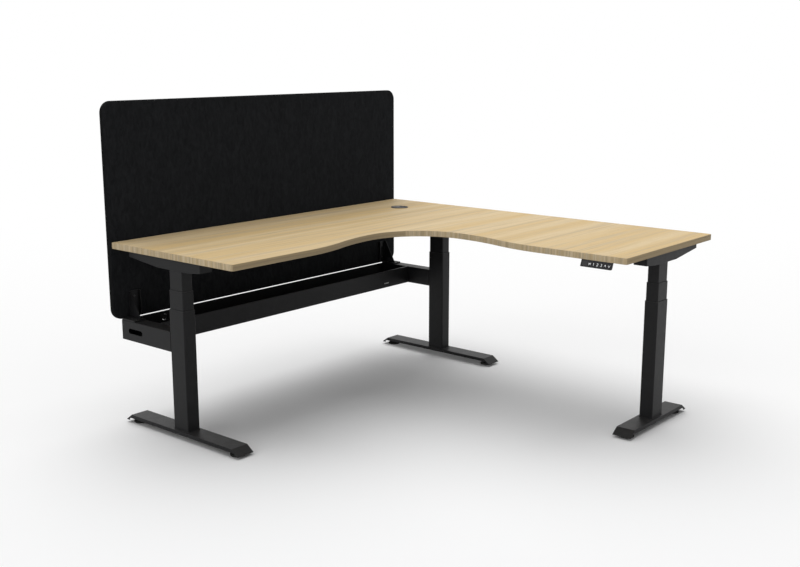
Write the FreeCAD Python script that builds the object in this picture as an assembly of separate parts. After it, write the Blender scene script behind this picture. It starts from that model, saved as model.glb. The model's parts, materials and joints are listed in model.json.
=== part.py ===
import FreeCAD, Part
import math
import os

# Corner sit-stand workstation: an L-shaped worktop on three telescopic electric columns, with a felt screen
# and a cable tray carried by two side arms. Millimetres. X runs along the screen, Y to the back, Z up.
# The origin is on the floor, under the middle of the object's box.

Vector = FreeCAD.Vector
os.makedirs("parts", exist_ok=True)

# Worktop
worktop_length = 1800.0
return_length = 1800.0
worktop_thickness = 25.0
worktop_height = 780.0
wing_depth = 750.0
waist_depth = 685.0
sweep_start = 1400.0
waist_start = 950.0
worktop_corner_radius = 10.0
edge_band_thickness = 2.0
glue_line = 0.1

# Travel of the worktop from the height that is set
lift_down = 130.0
lift_up = 515.0

# Screen
screen_gap = 4.0
screen_thickness = 22.0
screen_height = 906.5
screen_bottom = 447.5
screen_overhang = 4.0
screen_corner_radius = 42.0

# Where the columns stand, from the worktop's edges to the outer tube's face or centre
left_inset = 39.0
corner_inset = 33.0
return_inset = 39.0
main_setback = 359.0
return_setback = 354.0

# Column tubes: width across the foot, depth along it; each stage is smaller than the one round it by a step
tube_width = 60.0
tube_depth = 90.0
tube_step = 2.5
tube_wall = 1.5
tube_radius = 4.5
outer_tube_top = 539.0
middle_tube_top = 617.0
base_plate_thickness = 6.0
middle_overlap = 170.0
inner_overlap = 115.0

# Guide bushes between the tubes
slide_clearance = 0.3
seat_clearance = 0.1
bush_rim = 2.0
bush_length = 40.0

# Feet: a pressed channel with sloping ends
foot_width = 84.0
foot_top = 37.5
foot_skirt = 15.0
foot_sheet = 3.0
foot_flat = 638.0
return_foot_flat = 430.0
foot_slope_run = 36.0
foot_slope_drop = 26.0
foot_bend_radius = 2.0

# Levelling glides
glide_radius = 30.0
glide_height = 9.0
glide_edge = 1.5
glide_hub_radius = 9.0
glide_hub_height = 3.0
glide_stem_radius = 5.0
glide_stem_top = 31.0
glide_inset = 47.0
glide_boss_radius = 9.0
glide_boss_height = 17.0

# Bolts that hold each foot to its column
foot_bolt_radius = 4.0
foot_bolt_head_radius = 7.0
foot_bolt_head_height = 4.5
foot_bolt_depth = 5.0
foot_bolt_share_across = 0.28
foot_bolt_share_along = 0.36

# Lifting screws: a fixed rod, a hollow screw that rides on it, a nut in the inner tube and a drive tube
rod_radius = 7.0
rod_top = 540.0
screw_bore_radius = 8.5
screw_radius = 11.0
screw_nut_length = 30.0
screw_top = 618.0
collar_radius = 13.0
collar_length = 20.0
screw_plate_thickness = 5.0
screw_plate_inset = 2.0
nut_plate_thickness = 12.0
nut_plate_inset = 1.0
drive_tube_radius = 15.5
drive_tube_gap = 6.0
fit_clearance = 0.2

# Gearbox and motor on top of each inner tube, inside the top bracket
gearbox_height = 37.0
gearbox_headroom = 3.0
gearbox_depth = 90.0
gearbox_width = 50.0
gearbox_edge = 3.0
gearbox_ear_reach = 16.0
gearbox_ear_width = 40.0
gearbox_ear_rise = 6.0
gearbox_screw_spread = 12.0
motor_radius = 18.5
motor_length = 112.0
motor_cap_length = 9.0
motor_cap_radius = 14.0

# Top brackets: a pressed channel, deepest at the column, with a short front end and a long rear end
bracket_front = 157.0
bracket_rear = 293.0
bracket_width = 60.0
bracket_depth = 54.0
bracket_front_end_depth = 46.0
bracket_rear_end_depth = 32.0
bracket_flat_front = 80.0
bracket_flat_rear = 105.0
bracket_sheet = 2.5
bracket_tab = 42.0
bracket_bend_radius = 2.0

# Rails under the worktop
rail_width = 30.0
rail_height = 40.0
rail_wall = 2.0
rail_radius = 3.0
rail_offset = 60.0

# Side arms
arm_top = 446.0
arm_height = 85.0
arm_wall = 2.5
arm_radius = 3.0
arm_overhang = 5.0
arm_slot_length = 93.0
arm_slot_height = 22.0
arm_slot_end = 36.0
cap_flange = 4.0
cap_plug = 12.0
cap_wall = 2.0

# Cable tray
tray_depth = 173.0
tray_sheet = 1.5
tray_lip = 8.0
tray_bend_radius = 1.2
tray_screw_inset = 35.0

# Cable port in the tray's back wall
port_from_left_end = 252.0
port_height = 418.0
port_bore_radius = 14.0
port_sleeve_radius = 16.0
port_flange_radius = 19.0
port_flange = 2.0
port_length = 12.0

# Screen brackets
screen_bracket_width = 50.0
screen_bracket_flange = 16.0
screen_bracket_sheet = 3.0
screen_bracket_top = 562.0
screen_bracket_bottom = 455.0
screen_bracket_end = 78.0
screen_gusset_top = 12.0
screen_foot_length = 79.0
screen_foot_outward = 39.0
screen_foot_inward = 20.0
screen_foot_thickness = 6.0
screen_foot_radius = 8.0
screen_screw_pitch = 60.0
screen_foot_screw_pitch = 30.0

# Screws with round heads
screw_head_radius = 5.0
screw_head_height = 2.4
screw_shank_radius = 2.2
screw_depth = 14.0
screw_hole_clearance = 0.1
tray_screw_depth = 8.0
drive_screw_depth = 16.0

# Control box
control_length = 290.0
control_width = 78.0
control_height = 34.0
control_from_left = 860.0
control_edge = 4.0
control_ear = 16.0
control_ear_thickness = 3.0
control_rib_pitch = 20.0
control_rib_width = 3.0
control_rib_depth = 1.5
socket_width = 14.0
socket_height = 12.0
socket_depth = 10.0
socket_pitch = 22.0
socket_count = 4
inlet_width = 28.0
inlet_height = 20.0
inlet_depth = 16.0
inlet_pin_width = 4.0
inlet_pin_thickness = 2.0
inlet_pin_length = 11.0
inlet_pin_pitch = 7.0

# Handset under the return's inner edge
handset_length = 136.0
handset_face = 30.0
handset_tilt = 22.0
handset_depth = 14.0
handset_ear = 16.0
handset_ear_thickness = 3.0
handset_from_front = 63.0
handset_edge = 3.0
display_from_end = 8.0
display_width = 24.0
display_height = 18.0
display_thickness = 1.6
display_proud = 0.3
key_count = 6
key_pitch = 17.0
key_width = 11.0
key_height = 12.0
key_thickness = 2.6
key_proud = 0.9
key_travel = 0.8
key_radius = 2.5
key_gap = 0.3
key_from_end = 41.0

# Grommet in the worktop's corner
grommet_from_corner = 234.0
grommet_hole_radius = 40.0
grommet_flange_radius = 44.0
grommet_flange = 2.5
grommet_sleeve_radius = 39.5
grommet_bore_radius = 37.0
grommet_ledge = 3.0
grommet_ledge_depth = 5.0
grommet_sleeve_depth = 22.0
grommet_cap_radius = 36.6
grommet_cap_thickness = 4.0
grommet_cap_proud = 0.6
grommet_slot_width = 22.0
grommet_slot_reach = 10.0
grommet_slot_turn = 130.0
grommet_gap = 0.3

# One overrun for every cut
overrun = 5.0

# Places worked out from the sizes above
corner_x = worktop_length / 2
corner_y = (return_length - screen_gap - screen_thickness) / 2
left_x = corner_x - worktop_length
front_y = corner_y - return_length
underside = worktop_height - worktop_thickness
screen_face = corner_y + screen_gap

middle_width = tube_width - 2 * tube_step
middle_depth = tube_depth - 2 * tube_step
inner_width = middle_width - 2 * tube_step
inner_depth = middle_depth - 2 * tube_step
middle_tube_bottom = outer_tube_top - lift_up / 2 - middle_overlap
inner_tube_bottom = middle_tube_top - lift_up / 2 - inner_overlap
gearbox_bottom = underside - gearbox_headroom - gearbox_height
bracket_floor = underside - bracket_depth + bracket_sheet
foot_underside = foot_top - foot_sheet

legs = {
    "left": (left_x + left_inset + tube_width / 2, corner_y - main_setback, 0.0, foot_flat),
    "corner": (corner_x - corner_inset - tube_width / 2, corner_y - main_setback, 0.0, foot_flat),
    "return": (corner_x - return_setback, front_y + return_inset + tube_width / 2, -90.0, return_foot_flat),
}

arm_bottom = arm_top - arm_height
arm_back = corner_y + arm_overhang
tray_left = legs["left"][0] + tube_width / 2
tray_right = legs["corner"][0] - tube_width / 2

grommet_centre = Vector(corner_x - grommet_from_corner, corner_y - grommet_from_corner, 0)
port_centre = Vector(left_x + port_from_left_end, corner_y, port_height)


def save(name, *solids):
    """Write one node: a single solid, or several that belong together."""
    shape = solids[0] if len(solids) == 1 else Part.makeCompound(list(solids))
    shape.exportStep("parts/" + name + ".step")


def cuboid(x_range, y_range, z_range):
    low = Vector(x_range[0], y_range[0], z_range[0])
    return Part.makeBox(x_range[1] - x_range[0], y_range[1] - y_range[0], z_range[1] - z_range[0], low)


def edges_along(shape, direction):
    """Straight edges of a shape that run along a direction."""
    nearly_parallel_share = 0.999
    found = []
    for edge in shape.Edges:
        if edge.Curve.TypeId == "Part::GeomLine":
            tangent = edge.tangentAt(edge.FirstParameter)
            if abs(tangent.dot(direction)) > nearly_parallel_share:
                found.append(edge)
    return found


def circles_above(shape, height):
    """Round edges of a shape that lie above a height."""
    return [edge for edge in shape.Edges if edge.Curve.TypeId == "Part::GeomCircle"
            and edge.CenterOfMass.z > height]


def rounded_block(width, depth, radius, bottom, top):
    """A block about the Z axis with its four upright edges rounded."""
    block = cuboid((-width / 2, width / 2), (-depth / 2, depth / 2), (bottom, top))
    return block.makeFillet(radius, edges_along(block, Vector(0, 0, 1)))


def cylinder(radius, base, direction, length):
    return Part.makeCylinder(radius, length, base, direction)


def plate(points, direction):
    """A flat outline carried along a direction."""
    return Part.Face(Part.makePolygon(points + points[:1])).extrude(direction)


def at_leg(shape, leg):
    """Turn a shape from its column's own frame, foot along Y, and carry it to the column."""
    x, y, turn, flat = legs[leg]
    placed = shape.copy()
    placed.rotate(Vector(0, 0, 0), Vector(0, 0, 1), turn)
    placed.translate(Vector(x, y, 0))
    return placed


def round_head_screw(point, direction, depth):
    """A screw whose head sits on a surface at a point; the shank goes along the direction."""
    along = Vector(direction).normalize()
    head = cylinder(screw_head_radius, point, along * -1, screw_head_height)
    rim = [edge for edge in head.Edges if edge.Curve.TypeId == "Part::GeomCircle"]
    outer_rim = [edge for edge in rim if (edge.Curve.Center - point).Length > screw_head_height / 2]
    head = head.makeChamfer(screw_head_height / 2, outer_rim)
    return head.fuse(cylinder(screw_shank_radius, point, along, depth)).removeSplitter()


def screw_hole(point, direction, depth):
    """The hole for a round-headed screw's shank, run out through the surface."""
    along = Vector(direction).normalize()
    radius = screw_shank_radius + screw_hole_clearance
    return cylinder(radius, point - along * overrun, along, depth + overrun)


# Feet

def foot_profile(flat, inset):
    """Side view of the foot: a flat top between two slopes; the inset gives the inner face of the sheet."""
    slope_length = math.hypot(foot_slope_run, foot_slope_drop)
    sideways = inset * slope_length / foot_slope_drop
    half = flat / 2 + foot_slope_run - sideways
    top = foot_top - inset
    lip = foot_top - foot_slope_drop
    rise = top - lip
    shoulder = half - rise * foot_slope_run / foot_slope_drop
    return half, shoulder, lip, top


def foot_solid(flat):
    half, shoulder, lip, top = foot_profile(flat, 0)
    inner_half, inner_shoulder, lip, inner_top = foot_profile(flat, foot_sheet)
    skirt_bottom = foot_top - foot_skirt
    x = -foot_width / 2
    outer = plate([Vector(x, -half, lip), Vector(x, -shoulder, top),
                   Vector(x, shoulder, top), Vector(x, half, lip)], Vector(foot_width, 0, 0))
    side_edges = [edge for edge in outer.Edges if edge.CenterOfMass.z > lip + foot_sheet
                  and abs(edge.CenterOfMass.x) > foot_width / 2 - foot_sheet]
    outer = outer.makeFillet(foot_bend_radius, side_edges)
    x = x + foot_sheet
    inner_half = inner_half + (inner_half - inner_shoulder) * overrun / (inner_top - lip)
    inner = plate([Vector(x, -inner_half, lip - overrun), Vector(x, -inner_shoulder, inner_top),
                   Vector(x, inner_shoulder, inner_top), Vector(x, inner_half, lip - overrun)],
                  Vector(foot_width - 2 * foot_sheet, 0, 0))
    channel = outer.cut(inner)
    slope_share = (skirt_bottom - lip) / (inner_top - lip)
    base_half, base_shoulder, lip, base_top = foot_profile(flat, foot_sheet)
    trim_half = base_half - (base_half - base_shoulder) * slope_share
    trim = cuboid((-foot_width, foot_width), (-trim_half, trim_half), (lip - overrun, skirt_bottom))
    return channel.cut(trim)


def foot_bolt_places():
    across = foot_bolt_share_across * tube_width
    along = foot_bolt_share_along * tube_depth
    return [(side * across, end * along) for side in (-1, 1) for end in (-1, 1)]


def glide_places(flat):
    reach = flat / 2 + foot_slope_run - glide_inset
    return [-reach, reach]


def make_foot(leg):
    flat = legs[leg][3]
    foot = foot_solid(flat)
    for y in glide_places(flat):
        boss = cylinder(glide_boss_radius, Vector(0, y, foot_underside - glide_boss_height), Vector(0, 0, 1),
                        glide_boss_height + foot_sheet / 2)
        foot = foot.fuse(boss)
        thread = cylinder(glide_stem_radius + slide_clearance, Vector(0, y, 0), Vector(0, 0, 1),
                          glide_stem_top + slide_clearance)
        foot = foot.cut(thread)
    for x, y in foot_bolt_places():
        foot = foot.cut(cylinder(foot_bolt_radius + screw_hole_clearance, Vector(x, y, 0), Vector(0, 0, 1),
                                 foot_top + overrun))
    save("foot_" + leg, at_leg(foot.removeSplitter(), leg))


def make_glides(leg):
    for end, y in zip(("front", "back"), glide_places(legs[leg][3])):
        disc = cylinder(glide_radius, Vector(0, y, 0), Vector(0, 0, 1), glide_height)
        disc = disc.makeChamfer(glide_edge, circles_above(disc, glide_height / 2))
        hub = cylinder(glide_hub_radius, Vector(0, y, glide_height), Vector(0, 0, 1), glide_hub_height)
        stem = cylinder(glide_stem_radius, Vector(0, y, glide_height), Vector(0, 0, 1),
                        glide_stem_top - glide_height)
        save("glide_" + leg + "_" + end, at_leg(disc.fuse(hub).fuse(stem).removeSplitter(), leg))


def make_foot_bolts():
    bolts = []
    for leg in legs:
        for x, y in foot_bolt_places():
            head = cylinder(foot_bolt_head_radius, Vector(x, y, foot_underside - foot_bolt_head_height),
                            Vector(0, 0, 1), foot_bolt_head_height)
            shank = cylinder(foot_bolt_radius, Vector(x, y, foot_underside), Vector(0, 0, 1),
                             foot_sheet + foot_bolt_depth)
            bolts.append(at_leg(head.fuse(shank).removeSplitter(), leg))
    save("foot_bolts", *bolts)


# Column tubes and the guides between them

def tube(width, depth, bottom, top):
    outer = rounded_block(width, depth, tube_radius, bottom, top)
    bore = rounded_block(width - 2 * tube_wall, depth - 2 * tube_wall, tube_radius - tube_wall,
                         bottom - overrun, top + overrun)
    return outer.cut(bore)


def make_outer_tube(leg):
    base = rounded_block(tube_width - tube_wall, tube_depth - tube_wall, tube_radius - tube_wall / 2,
                         foot_top, foot_top + base_plate_thickness)
    column = tube(tube_width, tube_depth, foot_top, outer_tube_top).fuse(base).removeSplitter()
    for x, y in foot_bolt_places():
        hole = cylinder(foot_bolt_radius + screw_hole_clearance, Vector(x, y, foot_top - overrun),
                        Vector(0, 0, 1), overrun + foot_bolt_depth)
        column = column.cut(hole)
    save("outer_tube_" + leg, at_leg(column, leg))


def guide_bush(width, depth, top):
    """A plastic sleeve with a rim on a tube's mouth, that guides the next tube; sizes are the tube's."""
    rim = rounded_block(width, depth, tube_radius, top, top + bush_rim)
    sleeve_inset = tube_wall + seat_clearance
    sleeve = rounded_block(width - 2 * sleeve_inset, depth - 2 * sleeve_inset, tube_radius - sleeve_inset,
                           top - bush_length, top + bush_rim)
    bore_inset = tube_step - slide_clearance
    bore = rounded_block(width - 2 * bore_inset, depth - 2 * bore_inset, tube_radius + slide_clearance,
                         top - bush_length - overrun, top + bush_rim + overrun)
    return rim.fuse(sleeve).cut(bore).removeSplitter()


def make_lift_screw(leg):
    """Hollow screw on a plate in the middle tube's foot; its lower end is the nut that rides on the rod."""
    bottom = middle_tube_bottom + screw_plate_inset
    screw = rounded_block(middle_width - 2 * tube_wall, middle_depth - 2 * tube_wall, tube_radius,
                          bottom, bottom + screw_plate_thickness)
    screw = screw.fuse(cylinder(screw_radius, Vector(0, 0, bottom), Vector(0, 0, 1), screw_top - bottom))
    screw = screw.fuse(cylinder(collar_radius, Vector(0, 0, screw_top - collar_length), Vector(0, 0, 1),
                                collar_length))
    screw = screw.cut(cylinder(rod_radius + slide_clearance, Vector(0, 0, bottom - overrun), Vector(0, 0, 1),
                               screw_top))
    screw = screw.cut(cylinder(screw_bore_radius, Vector(0, 0, bottom + screw_nut_length), Vector(0, 0, 1),
                               screw_top))
    save("lift_screw_" + leg, at_leg(screw.removeSplitter(), leg))


def make_middle_tube(leg):
    stage = tube(middle_width, middle_depth, middle_tube_bottom, middle_tube_top)
    save("middle_tube_" + leg, at_leg(stage, leg))
    save("middle_bush_" + leg, at_leg(guide_bush(middle_width, middle_depth, middle_tube_top), leg))


def make_inner_tube(leg):
    save("inner_tube_" + leg, at_leg(tube(inner_width, inner_depth, inner_tube_bottom, gearbox_bottom), leg))


def make_lift_drive():
    """Rods on the base plates, nuts in the inner tubes' feet, and drive tubes under the gearboxes."""
    rods = []
    nuts = []
    drives = []
    nut_bottom = inner_tube_bottom + nut_plate_inset
    drive_bottom = nut_bottom + nut_plate_thickness + drive_tube_gap
    rod_bottom = foot_top + base_plate_thickness
    for leg in legs:
        rod = cylinder(rod_radius, Vector(0, 0, rod_bottom), Vector(0, 0, 1), rod_top - rod_bottom)
        rods.append(at_leg(rod, leg))
        nut = rounded_block(inner_width - 2 * tube_wall, inner_depth - 2 * tube_wall, tube_radius,
                            nut_bottom, nut_bottom + nut_plate_thickness)
        nut_bore = cylinder(screw_radius + slide_clearance, Vector(0, 0, nut_bottom - overrun),
                            Vector(0, 0, 1), nut_plate_thickness + 2 * overrun)
        nut = nut.cut(nut_bore)
        nuts.append(at_leg(nut, leg))
        length = gearbox_bottom - drive_bottom
        drive = cylinder(drive_tube_radius, Vector(0, 0, drive_bottom), Vector(0, 0, 1), length)
        drive = drive.cut(cylinder(collar_radius + slide_clearance, Vector(0, 0, drive_bottom - overrun),
                                   Vector(0, 0, 1), length + 2 * overrun))
        drives.append(at_leg(drive, leg))
    save("lift_rods", *rods)
    save("lift_nuts", *nuts)
    save("drive_tubes", *drives)


# Gearboxes with their motors, and the top brackets that hold them

def make_drive_units():
    units = []
    motor_height = underside - gearbox_headroom - motor_radius
    for leg in legs:
        top = underside - gearbox_headroom
        gearbox = cuboid((-gearbox_width / 2, gearbox_width / 2), (-gearbox_depth / 2, gearbox_depth / 2),
                         (gearbox_bottom, top))
        gearbox = gearbox.makeFillet(gearbox_edge, edges_along(gearbox, Vector(0, 0, 1)))
        for end in (-1, 1):
            near = inner_depth / 2 + fit_clearance
            ear_y = sorted((end * near, end * (near + gearbox_ear_reach)))
            gearbox = gearbox.fuse(cuboid((-gearbox_ear_width / 2, gearbox_ear_width / 2), ear_y,
                                          (bracket_floor, gearbox_bottom + gearbox_ear_rise)))
        motor_start = Vector(0, gearbox_depth / 2, motor_height)
        along = Vector(0, 1, 0)
        motor = cylinder(motor_radius, motor_start, along, motor_length)
        cap = cylinder(motor_cap_radius, motor_start + along * motor_length, along, motor_cap_length)
        unit = gearbox.fuse(motor).fuse(cap).removeSplitter()
        for point in drive_screw_places():
            unit = unit.cut(screw_hole(point, Vector(0, 0, 1), drive_screw_depth))
        units.append(at_leg(unit, leg))
    save("drive_units", *units)


def drive_screw_places():
    """Under the bracket's floor, two screws up into each ear of the gearbox."""
    reach = inner_depth / 2 + fit_clearance + gearbox_ear_reach / 2
    return [Vector(side * gearbox_screw_spread, end * reach, underside - bracket_depth)
            for side in (-1, 1) for end in (-1, 1)]


def make_drive_screws():
    screws = [at_leg(round_head_screw(point, Vector(0, 0, 1), drive_screw_depth), leg)
              for leg in legs for point in drive_screw_places()]
    save("drive_screws", *screws)


def bracket_profile(inset):
    """Side view of the top bracket, shrunk by an inset all round."""
    x = -bracket_width / 2 + inset
    points = [Vector(x, -bracket_front, 0), Vector(x, bracket_rear, 0),
              Vector(x, bracket_rear, -bracket_rear_end_depth), Vector(x, bracket_flat_rear, -bracket_depth),
              Vector(x, -bracket_flat_front, -bracket_depth),
              Vector(x, -bracket_front, -bracket_front_end_depth)]
    face = Part.Face(Part.makePolygon(points + points[:1]))
    return face.makeOffset2D(-inset, join=2) if inset else face


def bracket_screw_places():
    """Two screws across each end tab."""
    across = bracket_width / 4
    ends = (-bracket_front + bracket_tab / 2, bracket_rear - bracket_tab / 2)
    return [(side * across, y) for side in (-1, 1) for y in ends]


def make_top_bracket(leg):
    outer = bracket_profile(0).extrude(Vector(bracket_width, 0, 0))
    side_edges = [edge for edge in outer.Edges if edge.CenterOfMass.z < -bracket_sheet
                  and abs(edge.CenterOfMass.x) > bracket_width / 2 - bracket_sheet]
    outer = outer.makeFillet(bracket_bend_radius, side_edges)
    inner = bracket_profile(bracket_sheet).extrude(Vector(bracket_width - 2 * bracket_sheet, 0, 0))
    shell = outer.cut(inner)
    side = bracket_width / 2 - bracket_sheet
    window = cuboid((-side, side), (-bracket_front + bracket_tab, bracket_rear - bracket_tab),
                    (-bracket_sheet - overrun, overrun))
    shell = shell.cut(window)
    shell = shell.cut(rounded_block(inner_width + 2 * fit_clearance, inner_depth + 2 * fit_clearance,
                                    tube_radius + fit_clearance, -bracket_depth - overrun,
                                    -bracket_depth + bracket_sheet + overrun))
    for x, y in bracket_screw_places():
        shell = shell.cut(screw_hole(Vector(x, y, -bracket_sheet), Vector(0, 0, 1), bracket_sheet + overrun))
    shell.translate(Vector(0, 0, underside))
    for point in drive_screw_places():
        shell = shell.cut(screw_hole(point, Vector(0, 0, 1), bracket_sheet + overrun))
    save("top_bracket_" + leg, at_leg(shell, leg))


# Rails under the worktop

def rail_between(start, end, across):
    """A square-cornered tube from start to end, its height hanging from the worktop's underside."""
    run = end - start
    along = Vector(run).normalize()
    middle = (start + end) / 2
    outer_width = rail_width
    block = cuboid((-run.Length / 2, run.Length / 2), (-outer_width / 2, outer_width / 2),
                   (underside - rail_height, underside))
    block = block.makeFillet(rail_radius, edges_along(block, Vector(1, 0, 0)))
    bore = cuboid((-run.Length / 2 - overrun, run.Length / 2 + overrun),
                  (-outer_width / 2 + rail_wall, outer_width / 2 - rail_wall),
                  (underside - rail_height + rail_wall, underside - rail_wall))
    rail = block.cut(bore)
    rail.rotate(Vector(0, 0, 0), Vector(0, 0, 1), math.degrees(math.atan2(along.y, along.x)))
    rail.translate(Vector(middle.x, middle.y, 0) + across)
    return rail


def make_rails():
    left_face = legs["left"][0] + bracket_width / 2
    right_face = legs["corner"][0] - bracket_width / 2
    main_y = legs["left"][1]
    main = [rail_between(Vector(left_face, main_y, 0), Vector(right_face, main_y, 0),
                         Vector(0, side * rail_offset, 0)) for side in (-1, 1)]
    back = main_y - rail_offset - rail_width / 2
    front = legs["return"][1] + bracket_width / 2
    return_x = legs["return"][0]
    side_rails = [rail_between(Vector(return_x, front, 0), Vector(return_x, back, 0),
                               Vector(side * rail_offset, 0, 0)) for side in (-1, 1)]
    save("main_rails", *main)
    save("return_rails", *side_rails)


# Side arms, their end caps and the tray between them

def arm_section(inset, y_range):
    """The arm's box section over a stretch of Y; the inset shrinks it to the bore."""
    half = tube_width / 2 - inset
    block = cuboid((-half, half), y_range, (arm_bottom + inset, arm_top - inset))
    return block.makeFillet(arm_radius - inset / 2, edges_along(block, Vector(0, 1, 0)))


def oblong(length, height, start, depth):
    """A round-ended slot, long in Y, cut along X from a start point."""
    radius = height / 2
    straight = length / 2 - radius
    body = cuboid((start.x, start.x + depth), (start.y - straight, start.y + straight),
                  (start.z - radius, start.z + radius))
    for end in (-1, 1):
        tip = Vector(start.x, start.y + end * straight, start.z)
        body = body.fuse(cylinder(radius, tip, Vector(1, 0, 0), depth))
    return body.removeSplitter()


def make_side_arm(leg, inward):
    x = legs[leg][0]
    front = legs[leg][1] + tube_depth / 2
    arm = arm_section(0, (front, arm_back)).cut(arm_section(arm_wall, (front - overrun, arm_back + overrun)))
    arm.translate(Vector(x, 0, 0))
    slot_middle = corner_y - arm_slot_end - arm_slot_length / 2
    slot_start = Vector(x - tube_width / 2 - overrun, slot_middle, arm_bottom + arm_height / 2)
    arm = arm.cut(oblong(arm_slot_length, arm_slot_height, slot_start, tube_width + 2 * overrun))
    inner_face = x + inward * tube_width / 2
    for hole in screen_foot_screw_points(leg, inward):
        arm = arm.cut(screw_hole(hole, Vector(0, 0, -1), screw_depth))
    for y, height in tray_screw_points():
        arm = arm.cut(screw_hole(Vector(inner_face + inward * tray_sheet, y, height), Vector(-inward, 0, 0),
                                 tray_screw_depth))
    save("side_arm_" + leg, arm)


def make_arm_caps():
    caps = []
    for leg in ("left", "corner"):
        flange = arm_section(0, (arm_back, arm_back + cap_flange))
        rim = [edge for edge in flange.Edges if edge.CenterOfMass.y > arm_back + cap_flange / 2]
        plug = arm_section(arm_wall + fit_clearance, (arm_back - cap_plug, arm_back))
        hollow = arm_section(arm_wall + fit_clearance + cap_wall, (arm_back - cap_plug - overrun, arm_back))
        cap = flange.makeChamfer(cap_flange / 4, rim).fuse(plug).cut(hollow).removeSplitter()
        cap.translate(Vector(legs[leg][0], 0, 0))
        caps.append(cap)
    save("arm_caps", *caps)


def tray_screw_points():
    """Two screws through each end plate of the tray, level with the arm's lower part."""
    height = arm_bottom + arm_slot_height / 2
    back = corner_y - tray_screw_inset
    front = corner_y - tray_depth + tray_screw_inset
    return [(back, height), (front, height)]


def make_cable_tray():
    front = corner_y - tray_depth
    outer = cuboid((tray_left, tray_right), (front, corner_y), (arm_bottom, arm_top))
    bends = [edge for edge in edges_along(outer, Vector(1, 0, 0)) if edge.CenterOfMass.z < arm_top - overrun]
    outer = outer.makeFillet(tray_bend_radius, bends)
    inner = cuboid((tray_left + tray_sheet, tray_right - tray_sheet),
                   (front + tray_sheet, corner_y - tray_sheet), (arm_bottom + tray_sheet, arm_top + overrun))
    tray = outer.cut(inner)
    for y_range in ((front, front + tray_lip), (corner_y - tray_lip, corner_y)):
        tray = tray.fuse(cuboid((tray_left, tray_right), y_range, (arm_top - tray_sheet, arm_top)))
    tray = tray.removeSplitter()
    slot_middle = corner_y - arm_slot_end - arm_slot_length / 2
    for x in (tray_left, tray_right):
        slot_start = Vector(x - overrun, slot_middle, arm_bottom + arm_height / 2)
        tray = tray.cut(oblong(arm_slot_length, arm_slot_height, slot_start, 2 * overrun))
    for x, inward in ((tray_left, 1), (tray_right, -1)):
        for y, height in tray_screw_points():
            tray = tray.cut(screw_hole(Vector(x + inward * tray_sheet, y, height), Vector(-inward, 0, 0),
                                       tray_sheet + overrun))
    tray = tray.cut(cylinder(port_sleeve_radius + screw_hole_clearance, port_centre + Vector(0, overrun, 0),
                             Vector(0, -1, 0), tray_sheet + 2 * overrun))
    save("cable_tray", tray)
    screws = []
    for x, inward in ((tray_left, 1), (tray_right, -1)):
        for y, height in tray_screw_points():
            screws.append(round_head_screw(Vector(x + inward * tray_sheet, y, height), Vector(-inward, 0, 0),
                                           tray_screw_depth))
    save("tray_screws", *screws)


def make_port_bush():
    inside_face = port_centre - Vector(0, tray_sheet, 0)
    flange = cylinder(port_flange_radius, inside_face, Vector(0, -1, 0), port_flange)
    start = inside_face - Vector(0, port_flange, 0)
    sleeve = cylinder(port_sleeve_radius, start, Vector(0, 1, 0), port_length)
    bore = cylinder(port_bore_radius, inside_face - Vector(0, port_flange + overrun, 0), Vector(0, 1, 0),
                    port_length + 2 * overrun)
    save("tray_port_bush", flange.fuse(sleeve).cut(bore).removeSplitter())


# Screen and its brackets

def make_screen():
    panel = cuboid((left_x - screen_overhang, corner_x + screen_overhang),
                   (screen_face, screen_face + screen_thickness),
                   (screen_bottom, screen_bottom + screen_height))
    panel = panel.makeFillet(screen_corner_radius, edges_along(panel, Vector(0, 1, 0)))
    for leg, inward in (("left", 1), ("corner", -1)):
        for point in screen_screw_points(leg, inward):
            panel = panel.cut(screw_hole(point, Vector(0, 1, 0), screen_bracket_sheet + screw_depth))
    save("screen_panel", panel)


def screen_bracket_frame(leg, inward):
    """X of the bracket's outer side, the side nearer to the end of the worktop."""
    end = left_x if inward > 0 else corner_x
    return end + inward * screen_bracket_end


def screen_screw_points(leg, inward):
    outer = screen_bracket_frame(leg, inward)
    x = outer + inward * screen_bracket_width / 2
    y = screen_face - screen_bracket_sheet
    height = (screen_bracket_top + screen_bracket_bottom) / 2
    return [Vector(x, y, height + side * screen_screw_pitch / 2) for side in (-1, 1)]


def screen_foot_screw_points(leg, inward):
    x = screen_bracket_frame(leg, inward) - inward * screen_foot_outward / 2
    height = arm_top + screen_foot_thickness
    first = corner_y - screen_foot_length + screen_foot_radius
    return [Vector(x, first + step * screen_foot_screw_pitch, height) for step in (0, 1)]


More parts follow.
